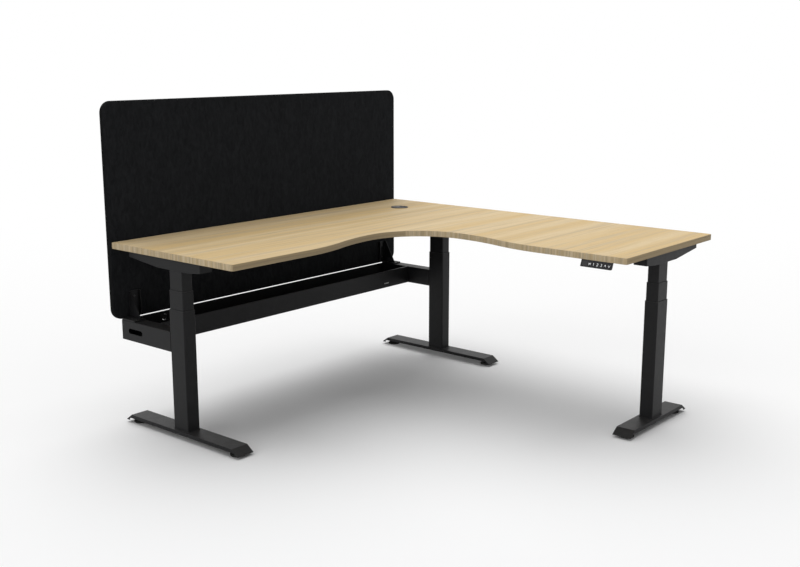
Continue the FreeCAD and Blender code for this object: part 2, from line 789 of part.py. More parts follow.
def make_screen_bracket(leg, inward):
    """A web against the screen with a flange inside, and outside a gusset down to a foot on the arm."""
    outer = screen_bracket_frame(leg, inward)
    inner = outer + inward * screen_bracket_width
    web_face = screen_face - screen_bracket_sheet
    foot_front = corner_y - screen_foot_length
    foot_top_height = arm_top + screen_foot_thickness
    z_range = (screen_bracket_bottom, screen_bracket_top)
    web = cuboid(sorted((outer, inner)), (web_face, screen_face), z_range)
    flange = cuboid(sorted((inner - inward * screen_bracket_sheet, inner)),
                    (screen_face - screen_bracket_flange, screen_face), z_range)
    gusset_front = foot_front + screen_foot_radius
    outline = [Vector(outer, screen_face, arm_top), Vector(outer, gusset_front, arm_top),
               Vector(outer, gusset_front, foot_top_height),
               Vector(outer, screen_face - screen_gusset_top, screen_bracket_top),
               Vector(outer, screen_face, screen_bracket_top)]
    gusset = plate(outline, Vector(inward * screen_bracket_sheet, 0, 0))
    tongue = cuboid(sorted((outer, outer + inward * screen_foot_inward)), (web_face, screen_face),
                    (arm_top, screen_bracket_bottom))
    foot_x = sorted((outer - inward * screen_foot_outward, outer + inward * screen_foot_inward))
    foot = cuboid(foot_x, (foot_front, screen_face), (arm_top, foot_top_height))
    front_edges = [edge for edge in edges_along(foot, Vector(0, 0, 1)) if edge.CenterOfMass.y < web_face]
    foot = foot.makeFillet(screen_foot_radius, front_edges)
    bracket = web.fuse(flange).fuse(gusset).fuse(tongue).fuse(foot).removeSplitter()
    for point in screen_screw_points(leg, inward):
        bracket = bracket.cut(screw_hole(point, Vector(0, 1, 0), screen_bracket_sheet + overrun))
    for point in screen_foot_screw_points(leg, inward):
        bracket = bracket.cut(screw_hole(point, Vector(0, 0, -1), screen_foot_thickness))
    save("screen_bracket_" + leg, bracket)


def make_screen_screws():
    screws = []
    foot_screw_depth = screen_foot_thickness + arm_wall + screw_head_height
    for leg, inward in (("left", 1), ("corner", -1)):
        for point in screen_screw_points(leg, inward):
            screws.append(round_head_screw(point, Vector(0, 1, 0), screw_depth))
        for point in screen_foot_screw_points(leg, inward):
            screws.append(round_head_screw(point, Vector(0, 0, -1), foot_screw_depth))
    save("screen_screws", *screws)


# Worktop: both wings are the same shape, mirrored about the diagonal through the corner

def wing_point(wing, along, depth):
    """A point of a wing: its distance along from the corner and its depth from the back edge."""
    if wing == "main":
        return Vector(corner_x - along, corner_y - depth, underside)
    return Vector(corner_x - depth, corner_y - along, underside)


def wing_arc(wing, start, middle, end):
    return Part.Arc(wing_point(wing, *start), wing_point(wing, *middle), wing_point(wing, *end)).toShape()


def wing_line(wing, start, end):
    return Part.LineSegment(wing_point(wing, *start), wing_point(wing, *end)).toShape()


def sweep_arcs(wing):
    """Two equal arcs, level at both ends, that take the front edge from the wing's depth to the waist's."""
    run = sweep_start - waist_start
    rise = wing_depth - waist_depth
    radius = (run ** 2 + rise ** 2) / (4 * rise)
    half_turn = math.asin(run / 2 / radius) / 2
    reach = radius * math.sin(half_turn)
    lift = radius * (1 - math.cos(half_turn))
    centre = ((sweep_start + waist_start) / 2, (wing_depth + waist_depth) / 2)
    first = wing_arc(wing, (sweep_start, wing_depth), (sweep_start - reach, wing_depth - lift), centre)
    second = wing_arc(wing, centre, (waist_start + reach, waist_depth + lift), (waist_start, waist_depth))
    return [first, second]


def wing_edges(wing, length):
    """From the rounded corner at the back, round the wing's end, to the start of the inside curve."""
    radius = worktop_corner_radius
    slack = radius * (1 - math.sqrt(2) / 2)
    edges = [wing_line(wing, (radius, 0), (length - radius, 0))]
    edges.append(wing_arc(wing, (length - radius, 0), (length - slack, slack), (length, radius)))
    edges.append(wing_line(wing, (length, radius), (length, wing_depth - radius)))
    edges.append(wing_arc(wing, (length, wing_depth - radius), (length - slack, wing_depth - slack),
                          (length - radius, wing_depth)))
    edges.append(wing_line(wing, (length - radius, wing_depth), (sweep_start, wing_depth)))
    return edges + sweep_arcs(wing)


def worktop_outline():
    radius = worktop_corner_radius
    slack = radius * (1 - math.sqrt(2) / 2)
    inside_radius = waist_start - waist_depth
    inside_middle = waist_start - inside_radius * math.sqrt(2) / 2
    edges = wing_edges("main", worktop_length) + wing_edges("return", return_length)
    edges.append(wing_arc("main", (waist_start, waist_depth), (inside_middle, inside_middle),
                          (waist_depth, waist_start)))
    edges.append(wing_arc("main", (radius, 0), (slack, slack), (0, radius)))
    return Part.Wire(Part.__sortEdges__(edges))


def make_worktop():
    outline = Part.Face(worktop_outline())
    thickness = Vector(0, 0, worktop_thickness)
    board = outline.makeOffset2D(-edge_band_thickness - glue_line).extrude(thickness)
    band = outline.extrude(thickness).cut(outline.makeOffset2D(-edge_band_thickness).extrude(thickness))
    board = board.cut(cylinder(grommet_hole_radius, grommet_centre + Vector(0, 0, underside - overrun),
                               Vector(0, 0, 1), worktop_thickness + 2 * overrun))
    for point in worktop_screw_points():
        board = board.cut(screw_hole(point, Vector(0, 0, 1), screw_depth + screw_hole_clearance))
    save("worktop", board)
    save("edge_band", band)


def worktop_screw_points():
    """Heads sit under the brackets' end tabs, the control box's ears and the handset's ear."""
    points = []
    for leg in legs:
        for x, y in bracket_screw_places():
            marker = Part.Vertex(Vector(x, y, underside - bracket_sheet))
            points.append(at_leg(marker, leg).Point)
    return points + control_screw_points() + handset_screw_points()


def make_worktop_screws():
    screws = [round_head_screw(point, Vector(0, 0, 1), screw_depth) for point in worktop_screw_points()]
    save("worktop_screws", *screws)


# Control box between the main rails

def control_screw_points():
    """Two screws up through each ear of the box."""
    start = left_x + control_from_left
    middle = legs["left"][1]
    return [Vector(x, middle + side * control_width / 4, underside - control_ear_thickness)
            for x in (start - control_ear / 2, start + control_length + control_ear / 2) for side in (-1, 1)]


def make_control_box():
    x0 = left_x + control_from_left
    x1 = x0 + control_length
    y_middle = legs["left"][1]
    y0 = y_middle - control_width / 2
    y1 = y_middle + control_width / 2
    z0 = underside - control_height
    box = cuboid((x0, x1), (y0, y1), (z0, underside))
    box = box.makeFillet(control_edge, [edge for edge in box.Edges if edge.CenterOfMass.z < underside])
    for ear_x in ((x0 - control_ear, x0 + control_edge), (x1 - control_edge, x1 + control_ear)):
        ear = cuboid(ear_x, (y0 + control_edge, y1 - control_edge),
                     (underside - control_ear_thickness, underside))
        box = box.fuse(ear)
    ribs = int((control_length - 2 * control_rib_pitch) / control_rib_pitch)
    for rib in range(ribs):
        x = x0 + control_rib_pitch * (rib + 1)
        groove = cuboid((x, x + control_rib_width), (y0 + control_edge, y1 - control_edge),
                        (z0 - overrun, z0 + control_rib_depth))
        box = box.cut(groove)
    z_middle = (z0 + underside) / 2
    y_first = y_middle - (socket_count - 1) * socket_pitch / 2
    for socket in range(socket_count):
        y = y_first + socket * socket_pitch
        box = box.cut(cuboid((x1 - socket_depth, x1 + overrun), (y - socket_width / 2, y + socket_width / 2),
                             (z_middle - socket_height / 2 - control_ear_thickness,
                              z_middle + socket_height / 2 - control_ear_thickness)))
    inlet_z = z_middle - control_ear_thickness
    inlet = cuboid((x0 - overrun, x0 + inlet_depth),
                   (y_middle - inlet_width / 2, y_middle + inlet_width / 2),
                   (inlet_z - inlet_height / 2, inlet_z + inlet_height / 2))
    box = box.cut(inlet)
    for pin in (-1, 0, 1):
        y = y_middle + pin * inlet_pin_pitch
        blade = cuboid((x0 + inlet_depth - inlet_pin_length, x0 + inlet_depth),
                       (y - inlet_pin_thickness / 2, y + inlet_pin_thickness / 2),
                       (inlet_z - inlet_pin_width / 2, inlet_z + inlet_pin_width / 2))
        box = box.fuse(blade)
    for point in control_screw_points():
        box = box.cut(screw_hole(point, Vector(0, 0, 1), control_ear_thickness + overrun))
    save("control_box", box.removeSplitter())


# Handset: the face leans back; along the face is u, up the face is v

handset_top_x = corner_x - wing_depth
handset_far = front_y + handset_from_front + handset_length
lean = math.radians(handset_tilt)
face_up = Vector(math.sin(lean), 0, math.cos(lean))


def face_point(from_end, up_share):
    """A point of the front face: its distance from the display's end and its height as a face share."""
    top = Vector(handset_top_x, handset_far - from_end, underside)
    return top - face_up * (handset_face * (1 - up_share))


def face_block(width, height, radius, point, inward, outward):
    """A block with rounded corners, square to the face, from a depth inside it to a height above it."""
    block = rounded_block(height, width, radius, -inward, outward)
    block.rotate(Vector(0, 0, 0), Vector(0, 1, 0), handset_tilt - 90)
    block.translate(point)
    return block


def handset_case_solid():
    low = Vector(handset_top_x, handset_far, underside) - face_up * handset_face
    back = handset_top_x + handset_depth
    points = [Vector(handset_top_x, handset_far, underside), low,
              Vector(low.x + handset_depth, handset_far, low.z), Vector(back, handset_far, underside)]
    case = plate(points, Vector(0, -handset_length, 0))
    rim = [edge for edge in case.Edges if edge.CenterOfMass.z < underside]
    case = case.makeFillet(handset_edge, rim)
    ear = cuboid((back - handset_edge, back + handset_ear),
                 (handset_far - handset_length + handset_ear, handset_far - handset_ear),
                 (underside - handset_ear_thickness, underside))
    case = case.fuse(ear).removeSplitter()
    for point in handset_screw_points():
        case = case.cut(screw_hole(point, Vector(0, 0, 1), handset_ear_thickness + overrun))
    return case


def handset_screw_points():
    """Two screws up through the ear behind the case."""
    x = handset_top_x + handset_depth + handset_ear / 2
    middle = handset_far - handset_length / 2
    height = underside - handset_ear_thickness
    return [Vector(x, middle + side * handset_length / 4, height) for side in (-1, 1)]


def key_names():
    return ["key_memory", "key_one", "key_two", "key_three", "key_up", "key_down"][:key_count]


def make_handset():
    middle_share = 0.5
    case = handset_case_solid()
    display_point = face_point(display_from_end + display_width / 2, middle_share)
    case = case.cut(face_block(display_width, display_height, key_radius, display_point,
                               display_thickness - display_proud, overrun))
    pocket_depth = key_thickness - key_proud + key_travel + key_gap
    for number, name in enumerate(key_names()):
        point = face_point(key_from_end + number * key_pitch, middle_share)
        pocket = face_block(key_width + 2 * key_gap, key_height + 2 * key_gap, key_radius + key_gap, point,
                            pocket_depth, overrun)
        case = case.cut(pocket)
        key_depth = key_thickness - key_proud
        save(name, face_block(key_width, key_height, key_radius, point, key_depth, key_proud))
    save("handset_case", case)
    save("handset_display", face_block(display_width, display_height, key_radius, display_point,
                                       display_thickness - display_proud, display_proud))


# Grommet: a flanged sleeve in the worktop, and a cap with a cut-out for cables

def make_grommet():
    up = Vector(0, 0, 1)
    top = grommet_centre + Vector(0, 0, worktop_height)
    ring = cylinder(grommet_flange_radius, top, up, grommet_flange)
    ring = ring.makeFillet(grommet_flange / 2, circles_above(ring, worktop_height + grommet_flange / 2))
    ring = ring.fuse(cylinder(grommet_sleeve_radius, top, up * -1, grommet_sleeve_depth))
    ring = ring.cut(cylinder(grommet_bore_radius, top - up * grommet_ledge_depth, up, grommet_sleeve_depth))
    below_sleeve = top - up * (grommet_sleeve_depth + overrun)
    ledge_bore = cylinder(grommet_bore_radius - grommet_ledge, below_sleeve, up, 2 * grommet_sleeve_depth)
    ring = ring.cut(ledge_bore)
    below = grommet_ledge_depth + grommet_ledge
    ring = ring.cut(cylinder(grommet_bore_radius, below_sleeve, up, grommet_sleeve_depth + overrun - below))
    save("grommet_ring", ring.removeSplitter())

    cap_top = top + up * (grommet_flange + grommet_cap_proud)
    skirt = grommet_cap_proud + grommet_flange + grommet_ledge_depth - grommet_gap
    cap = cylinder(grommet_cap_radius, cap_top - up * skirt, up, skirt)
    cap = cap.makeFillet(grommet_cap_proud, circles_above(cap, cap_top.z - grommet_gap))
    cap = cap.cut(cylinder(grommet_cap_radius - grommet_ledge, cap_top - up * (skirt + overrun), up,
                           skirt + overrun - grommet_cap_thickness))
    half = grommet_slot_width / 2
    slot_low = cap_top - up * (skirt + overrun)
    slot = cuboid((grommet_centre.x - grommet_cap_radius - overrun, grommet_centre.x - grommet_slot_reach),
                  (grommet_centre.y - half, grommet_centre.y + half), (slot_low.z, cap_top.z + overrun))
    slot_end = Vector(grommet_centre.x - grommet_slot_reach, grommet_centre.y, slot_low.z)
    slot = slot.fuse(cylinder(half, slot_end, up, skirt + 2 * overrun)).removeSplitter()
    slot.rotate(grommet_centre, up, grommet_slot_turn)
    save("grommet_cap", cap.cut(slot))


for leg_name in legs:
    make_foot(leg_name)
    make_glides(leg_name)
    make_outer_tube(leg_name)
    make_middle_tube(leg_name)
    make_lift_screw(leg_name)
    make_inner_tube(leg_name)
    make_top_bracket(leg_name)
save("outer_bushes", *[at_leg(guide_bush(tube_width, tube_depth, outer_tube_top), name) for name in legs])
make_foot_bolts()
make_lift_drive()
make_drive_units()
make_drive_screws()
make_rails()
make_side_arm("left", 1)
make_side_arm("corner", -1)
make_arm_caps()
make_cable_tray()
make_port_bush()
make_screen()
make_screen_bracket("left", 1)
make_screen_bracket("corner", -1)
make_screen_screws()
make_worktop()
make_worktop_screws()
make_control_box()
make_handset()
make_grommet()
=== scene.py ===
import json
import math

import bmesh
import bpy
import numpy as np
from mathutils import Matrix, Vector

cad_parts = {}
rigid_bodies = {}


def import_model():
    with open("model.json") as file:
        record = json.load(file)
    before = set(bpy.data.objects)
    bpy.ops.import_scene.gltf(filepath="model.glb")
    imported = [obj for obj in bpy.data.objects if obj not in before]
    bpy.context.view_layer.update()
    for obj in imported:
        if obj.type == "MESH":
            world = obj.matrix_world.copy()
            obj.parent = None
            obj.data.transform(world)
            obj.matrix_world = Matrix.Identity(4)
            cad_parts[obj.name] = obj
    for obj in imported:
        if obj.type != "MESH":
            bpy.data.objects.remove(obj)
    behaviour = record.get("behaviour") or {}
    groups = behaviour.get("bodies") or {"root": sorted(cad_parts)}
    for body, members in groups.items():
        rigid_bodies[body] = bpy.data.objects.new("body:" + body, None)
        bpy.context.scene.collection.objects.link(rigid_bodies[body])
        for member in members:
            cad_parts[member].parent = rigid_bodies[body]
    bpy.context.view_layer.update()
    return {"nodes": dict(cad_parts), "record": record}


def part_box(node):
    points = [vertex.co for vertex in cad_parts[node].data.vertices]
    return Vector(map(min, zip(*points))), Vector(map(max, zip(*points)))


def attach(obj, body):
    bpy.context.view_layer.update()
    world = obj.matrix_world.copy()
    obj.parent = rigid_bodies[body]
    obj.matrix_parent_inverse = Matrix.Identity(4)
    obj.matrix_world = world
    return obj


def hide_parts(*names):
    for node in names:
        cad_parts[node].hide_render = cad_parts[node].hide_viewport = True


# A corner sit-stand desk: an oak melamine top on three telescopic columns, a felt screen behind it and a
# cable tray between two side arms. Metres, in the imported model's frame. X runs along the screen.

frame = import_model()
nodes = frame["nodes"]

camera = {
    "place": (-3.47337, -2.84135, 1.53944), "tiltDegrees": 77.967, "turnDegrees": -49.856,
    "lensMm": 48.451, "sensorMm": 36.0,
}


def placed(name, data):
    # an object at the origin, linked to the scene
    thing = bpy.data.objects.new(name, data)
    bpy.context.scene.collection.objects.link(thing)
    return thing


cameraData = bpy.data.cameras.new("deskCamera")
cameraData.lens = camera["lensMm"]
cameraData.sensor_width = camera["sensorMm"]
cameraObject = placed("deskCamera", cameraData)
cameraObject.location = camera["place"]
cameraObject.rotation_euler = (math.radians(camera["tiltDegrees"]), 0, math.radians(camera["turnDegrees"]))
bpy.context.scene.camera = cameraObject
bpy.context.scene.view_settings.view_transform = "Standard"


# shader helpers

def addNode(tree, kind, inputs=(), **settings):
    # the outputs of a new shader node; an input is linked if it is a socket and written if it is a value
    node = tree.nodes.new("ShaderNode" + kind)
    for option, value in settings.items():
        setattr(node, option, value)
    for label, value in dict(inputs).items():
        socket = node.inputs[label]
        if isinstance(value, bpy.types.NodeSocket):
            tree.links.new(value, socket)
        else:
            socket.default_value = (*value, 1) if socket.type == "RGBA" else value
    return node.outputs


def mathNode(tree, operation, first, second=0.0, clamp=False):
    # one sum on two values or sockets
    return addNode(tree, "Math", {0: first, 1: second}, operation=operation, use_clamp=clamp)[0]


def product(tree, first, second, clamp=False):
    return mathNode(tree, "MULTIPLY", first, second, clamp)


def mapped(tree, value, low, high, outLow=0.0, outHigh=1.0, curve="LINEAR"):
    # a value between low and high carried to the range between outLow and outHigh
    return addNode(tree, "MapRange", {
        "Value": value, "From Min": low, "From Max": high, "To Min": outLow, "To Max": outHigh},
        interpolation_type=curve)["Result"]


def mixedColour(tree, amount, first, second, way="MIX"):
    # a colour mix has its amount at input 0, its colours at inputs 6 and 7 and its result at output 2
    return addNode(tree, "Mix", {0: amount, 6: first, 7: second}, data_type="RGBA", blend_type=way)[2]


def noise(tree, vector, scale=1.0, detail=2.0, rough=0.5, distortion=0.0, stretch=None):
    # a noise of the place, which is first multiplied axis by axis where there is a stretch
    if stretch:
        vector = addNode(tree, "VectorMath", {0: vector, 1: stretch}, operation="MULTIPLY")[0]
    return addNode(tree, "TexNoise", {
        "Vector": vector, "Scale": scale, "Detail": detail, "Roughness": rough, "Distortion": distortion})[0]


def axesOf(tree, vector):
    return addNode(tree, "SeparateXYZ", {0: vector})


def newGroup(name, inputs, outputs):
    # an empty shader group that takes a place and the sockets given as label and kind
    group = bpy.data.node_groups.new(name, "ShaderNodeTree")
    for way, sockets in (("INPUT", {"Vector": "Vector", **inputs}), ("OUTPUT", outputs)):
        for label, kind in sockets.items():
            group.interface.new_socket(label, in_out=way, socket_type="NodeSocket" + kind)
    return group, group.nodes.new("NodeGroupInput").outputs, group.nodes.new("NodeGroupOutput").inputs


def filled(group, out, values):
    for label, value in values.items():
        group.links.new(value, out[label])
    return group


def useGroup(tree, group, place, **inputs):
    return addNode(tree, "Group", {"Vector": place, **inputs}, node_tree=group)


def newMaterial(name):
    # an empty material, its tree and its texture coordinates
    made = bpy.data.materials.new(name)
    made.use_nodes = True
    made.node_tree.nodes.clear()
    return made, made.node_tree, addNode(made.node_tree, "TexCoord")


def finished(made, shader):
    addNode(made.node_tree, "OutputMaterial", {"Surface": shader[0]})
    return made


def principled(made, tone, rough, height, depth, gloss=0.5, more=()):
    # the depth is in metres, how far white stands above black in the height
    tree = made.node_tree
    bump = addNode(tree, "Bump", {"Height": height, "Distance": depth, "Strength": 1.0})[0]
    return finished(made, addNode(tree, "BsdfPrincipled", {
        "Base Color": tone, "Roughness": rough, "Specular IOR Level": gloss, "Normal": bump, **dict(more)}))


# floor, white backdrop and soft light

stageLook = {
    # the near floor tone is painted shade: the paper greys towards the camera
    "floorNearShade": (0.935, 0.935, 0.940), "floorFar": (0.975, 0.975, 0.975), "floorBounce": (0.60, 0.60, 0.60),
    "away": (0.764, 0.645, 0.0), "nearShadeLine": (-3.2, 0.4), "whiteLine": (0.4, 5.0), "whiteRing": (3.5, 8.0),
    "floorSize": 60.0, "skyStrength": 0.35, "shownStrength": 1.0,
    "overheadSun": {"strength": 1.95, "spreadDegrees": 75.0, "lean": (0.186, 0.306, 1.0)},
    "leftFill": {"strength": 0.72, "spreadDegrees": 60.0, "lean": (-1.0, -0.05, 0.30)},
}
white = (1, 1, 1)
half = stageLook["floorSize"] / 2
floorMesh = bpy.data.meshes.new("studioFloor")
floorMesh.from_pydata([(-half, -half, 0), (half, -half, 0), (half, half, 0), (-half, half, 0)], [], [(0, 1, 2, 3)])


def floorPaint():
    # paper painted greyer in front as painted shade, which throws back less light than it shows; seen by the
    # camera or in reflections it fades to white along the line away from the camera and far out on every side;
    # clear from below
    made, tree, at = newMaterial("studioFloorPaint")
    flat = at["Object"]
    away = addNode(tree, "VectorMath", {0: flat, 1: stageLook["away"]}, operation="DOT_PRODUCT")
    out = addNode(tree, "VectorMath", {0: flat}, operation="LENGTH")
    near, far, ring = (mapped(tree, node["Value"], *stageLook[line], curve="SMOOTHSTEP")
                       for node, line in ((away, "nearShadeLine"), (away, "whiteLine"), (out, "whiteRing")))
    ray = addNode(tree, "LightPath")
    # painted shade: the paper is mixed greyer towards the camera
    tone = mixedColour(tree, near, stageLook["floorNearShade"], stageLook["floorFar"])
    tone = mixedColour(tree, ray["Is Diffuse Ray"], tone, stageLook["floorBounce"])
    paper = addNode(tree, "BsdfDiffuse", {"Color": tone})[0]
    glow = addNode(tree, "Emission", {"Color": white, "Strength": stageLook["shownStrength"]})
    watched = mathNode(tree, "MAXIMUM", ray["Is Camera Ray"], ray["Is Glossy Ray"])
    faded = product(tree, mathNode(tree, "MAXIMUM", far, ring), watched)
    above = addNode(tree, "MixShader", {0: faded, 1: paper, 2: glow[0]})[0]
    below = addNode(tree, "NewGeometry")["Backfacing"]
    clear = addNode(tree, "BsdfTransparent")[0]
    return finished(made, addNode(tree, "MixShader", {0: below, 1: above, 2: clear}))


floorMesh.materials.append(floorPaint())
placed("studioFloor", floorMesh)

# the world lights the desk weakly and shows itself white
world = bpy.data.worlds.new("studioLight")
world.use_nodes = True
bpy.context.scene.world = world
tree = world.node_tree
tree.nodes.clear()
ray = addNode(tree, "LightPath")
seen = mathNode(tree, "MAXIMUM", ray["Is Camera Ray"], ray["Is Transmission Ray"])
seen = mathNode(tree, "MAXIMUM", seen, ray["Is Glossy Ray"])
lit, shown = (addNode(tree, "Background", {"Color": white, "Strength": stageLook[level]})[0]
              for level in ("skyStrength", "shownStrength"))
addNode(tree, "OutputWorld", {"Surface": addNode(tree, "MixShader", {0: seen, 1: lit, 2: shown})[0]})

for lampName in ("overheadSun", "leftFill"):
    lampLook = stageLook[lampName]
    lampData = bpy.data.lights.new(lampName, "SUN")
    lampData.energy = lampLook["strength"]
    lampData.angle = math.radians(lampLook["spreadDegrees"])
    placed(lampName, lampData).rotation_euler = Vector(lampLook["lean"]).to_track_quat("Z", "Y").to_euler()
print("camera, floor and light placed")


# shared surface effects

grainLook = {"pebbles": {"detail": 2.0, "rough": 0.45}, "broad": {"detail": 4.0, "rough": 0.6},
             "broadShare": 0.025, "spread": (0.3, 0.7)}


def makeFineGrain():
    # Height: a pebbled noise of the given pitch. Mottle: a broad noise forty times as coarse, for tone.
    group, given, out = newGroup("fineGrain", {"Pitch": "Float"}, {"Height": "Float", "Mottle": "Float"})
    scale = mathNode(group, "DIVIDE", 1.0, given["Pitch"])
    pebbles = noise(group, given["Vector"], scale, **grainLook["pebbles"])
    broad = noise(group, given["Vector"], product(group, scale, grainLook["broadShare"]), **grainLook["broad"])
    return filled(group, out, {"Height": mapped(group, pebbles, *grainLook["spread"]),
                               "Mottle": mapped(group, broad, *grainLook["spread"])})


dustSpread = {"power": 3.0, "patches": {"scale": 38.0, "detail": 5.0, "rough": 0.65},
              "cover": (0.35, 0.7, 0.45, 1.0)}


def makeSettledDust():
    # Mask: how far the surface faces up, to the third power, broken up by a soft noise
    group, given, out = newGroup("settledDust", {"Amount": "Float"}, {"Mask": "Float"})
    up = axesOf(group, addNode(group, "NewGeometry")["Normal"])["Z"]
    facing = mathNode(group, "POWER", mathNode(group, "MAXIMUM", up, 0.0), dustSpread["power"])
    patches = mapped(group, noise(group, given["Vector"], **dustSpread["patches"]), *dustSpread["cover"])
    return filled(group, out, {"Mask": product(group, product(group, facing, patches), given["Amount"], True)})


rubSpread = {"samples": 4, "turned": (0.995, 0.90), "patches": {"scale": 70.0, "detail": 4.0, "rough": 0.7},
             "cover": (0.42, 0.66)}


def makeRubbedEdge():
    # Mask: where a normal rounded over the reach turns away from the true one, broken up by a noise
    group, given, out = newGroup("rubbedEdge", {"Reach": "Float"}, {"Mask": "Float"})
    rounded = addNode(group, "Bevel", {"Radius": given["Reach"]}, samples=rubSpread["samples"])
    true = addNode(group, "NewGeometry")["Normal"]
    along = addNode(group, "VectorMath", {0: rounded[0], 1: true}, operation="DOT_PRODUCT")
    edge = mapped(group, along["Value"], *rubSpread["turned"])
    patches = mapped(group, noise(group, given["Vector"], **rubSpread["patches"]), *rubSpread["cover"])
    return filled(group, out, {"Mask": product(group, edge, patches, True)})


figureLook = {
    "squareTo": 0.6, "sway": {"stretch": (1.6, 5.0, 1.0)}, "swayReach": 0.016, "frontSheet": 3.7,
    "layers": {
        "planks": {"stretch": (0.22, 6.5, 1.0), "detail": 1.0, "rough": 0.4, "distortion": 0.1},
        "streaks": {"stretch": (0.8, 24.0, 1.0), "detail": 4.0, "rough": 0.62, "distortion": 0.35},
        "veins": {"stretch": (1.5, 75.0, 1.0), "detail": 3.0, "rough": 0.62, "distortion": 0.5},
        "grain": {"stretch": (8.0, 330.0, 1.0), "detail": 3.0, "rough": 0.7},
        "pores": {"stretch": (55.0, 1100.0, 1.0), "detail": 1.0},
    },
    # a layer, where it starts and where it is full, how much of which colour, and whether the stripes weigh it
    "tones": [("planks", 0.40, 0.60, 1.0, "Pale", False), ("streaks", 0.50, 0.64, 0.95, "Grey", True),
              ("veins", 0.55, 0.70, 0.70, "Dark", True), ("grain", 0.48, 0.74, 0.30, "Dark", False),
              ("pores", 0.64, 0.74, 0.40, "Dark", False)],
    "raised": (0.3, 0.7, 0.0, 0.6), "sunk": (0.64, 0.72, 0.0, 0.6),
}


def makeOakFigure():
    # The sheet's picture lies along X, and upright on edges that face X. Its lines sway a little across; noises
    # drawn out along them give planks, streaks, veins, grain and pores. Side says where a face looks along X.
    look = figureLook
    colours = dict.fromkeys(("Honey", "Pale", "Grey", "Dark"), "Color")
    group, given, out = newGroup(
        "oakFigure", {"Facing": "Vector", **colours, "Stripes": "Float", "Fine": "Float"},
        {"Color": "Color", "Height": "Float", "Streaks": "Float", "Side": "Float"})
    place, facing = axesOf(group, given["Vector"]), axesOf(group, given["Facing"])
    side, front = (mathNode(group, "GREATER_THAN", mathNode(group, "ABSOLUTE", facing[axis]), look["squareTo"])
                   for axis in "XY")
    notSide = mathNode(group, "SUBTRACT", 1.0, side)
    front = product(group, front, notSide)
    notFront = mathNode(group, "SUBTRACT", 1.0, front)
    along = mathNode(group, "ADD", product(group, place["Z"], side), product(group, place["X"], notSide))
    across = mathNode(group, "ADD", product(group, place["Z"], front), product(group, place["Y"], notFront))
    flat = addNode(group, "CombineXYZ", {0: along, 1: across})[0]
    sway = mapped(group, noise(group, flat, **look["sway"]), 0.0, 1.0, -look["swayReach"], look["swayReach"])
    narrowed = product(group, mathNode(group, "ADD", across, sway), given["Fine"])
    sheet = addNode(group, "CombineXYZ", {
        0: along, 1: narrowed, 2: product(group, front, look["frontSheet"])})[0]
    layers = {name: noise(group, sheet, **layer) for name, layer in look["layers"].items()}
    colour = given["Honey"]
    for name, low, high, most, tone, weighed in look["tones"]:
        amount = mapped(group, layers[name], low, high, 0.0, most)
        if weighed:
            amount = product(group, amount, given["Stripes"], True)
        colour = mixedColour(group, amount, colour, given[tone])
    pitted = mathNode(group, "SUBTRACT", mapped(group, layers["grain"], *look["raised"]),
                      mapped(group, layers["pores"], *look["sunk"]))
    return filled(group, out, {"Color": colour, "Height": pitted, "Streaks": layers["streaks"], "Side": side})


fibreLook = {
    "blotches": {"scale": 58.0, "detail": 5.0, "rough": 0.66, "distortion": 0.9, "stretch": (1.0, 1.0, 0.42)},
    "hairs": {"scale": 900.0, "detail": 4.0, "rough": 0.7, "distortion": 1.2, "stretch": (1.0, 1.0, 0.40)},
    "looseStretch": (0.35, 0.35, 1.0), "looseScale": 700.0, "looseShare": 0.35, "swell": 0.8,
    "spread": (0.32, 0.68),
}


def makeFeltFibres():
    # Mottle: upright blotches of pressed fibre. Height: fine crossed hairs with the blotches' swell.
    look = fibreLook
    group, given, out = newGroup("feltFibres", {}, {"Mottle": "Float", "Height": "Float"})
    blotches, hairs = (noise(group, given["Vector"], **look[name]) for name in ("blotches", "hairs"))
    drawn = addNode(group, "VectorMath", {0: given["Vector"], 1: look["looseStretch"]}, operation="MULTIPLY")[0]
    loose = addNode(group, "TexVoronoi", {"Vector": drawn, "Scale": look["looseScale"]}, feature="F1")
    fibres = mathNode(group, "ADD", hairs, product(group, loose["Distance"], look["looseShare"]))
    return filled(group, out, {
        "Mottle": mapped(group, blotches, *look["spread"]),
        "Height": mathNode(group, "ADD", fibres, product(group, blotches, look["swell"]))})


fineGrain = makeFineGrain()
settledDust = makeSettledDust()
rubbedEdge = makeRubbedEdge()
oakFigure = makeOakFigure()
feltFibres = makeFeltFibres()
print("surface effects built")


# materials

def coated(name, look):
    # powder coat, plastic, print or paper: a pebbled skin, tone drifting slightly, dust on what faces up, which
    # takes some gloss off, and, where the look has them, edges rubbed a little lighter and a painted glow
    made, tree, at = newMaterial(name)
    place = at["Object"]
    skin = useGroup(tree, fineGrain, place, Pitch=look["grainPitch"])
    dust = useGroup(tree, settledDust, place, Amount=look["dust"])["Mask"]
    tone = mixedColour(tree, skin["Mottle"], look["dark"], look["light"])
    if look["rub"]:
        rubbed = useGroup(tree, rubbedEdge, place, Reach=look["edgeReach"])["Mask"]
        tone = mixedColour(tree, product(tree, rubbed, look["rub"]), tone, look["rubbed"])
    tone = mixedColour(tree, dust, tone, look["dustColour"])
    rough = mapped(tree, skin["Mottle"], 0.0, 1.0, *(look["rough"] + swing for swing in look["swing"]))
    rough = mathNode(tree, "ADD", rough, product(tree, dust, look["dustRough"]), True)
    # the glow is painted light, an emission of the light tone
    return principled(made, tone, rough, skin["Height"], look["grainDepth"], look["gloss"], {
        "Emission Color": look["light"], "Emission Strength": look["glow"]})


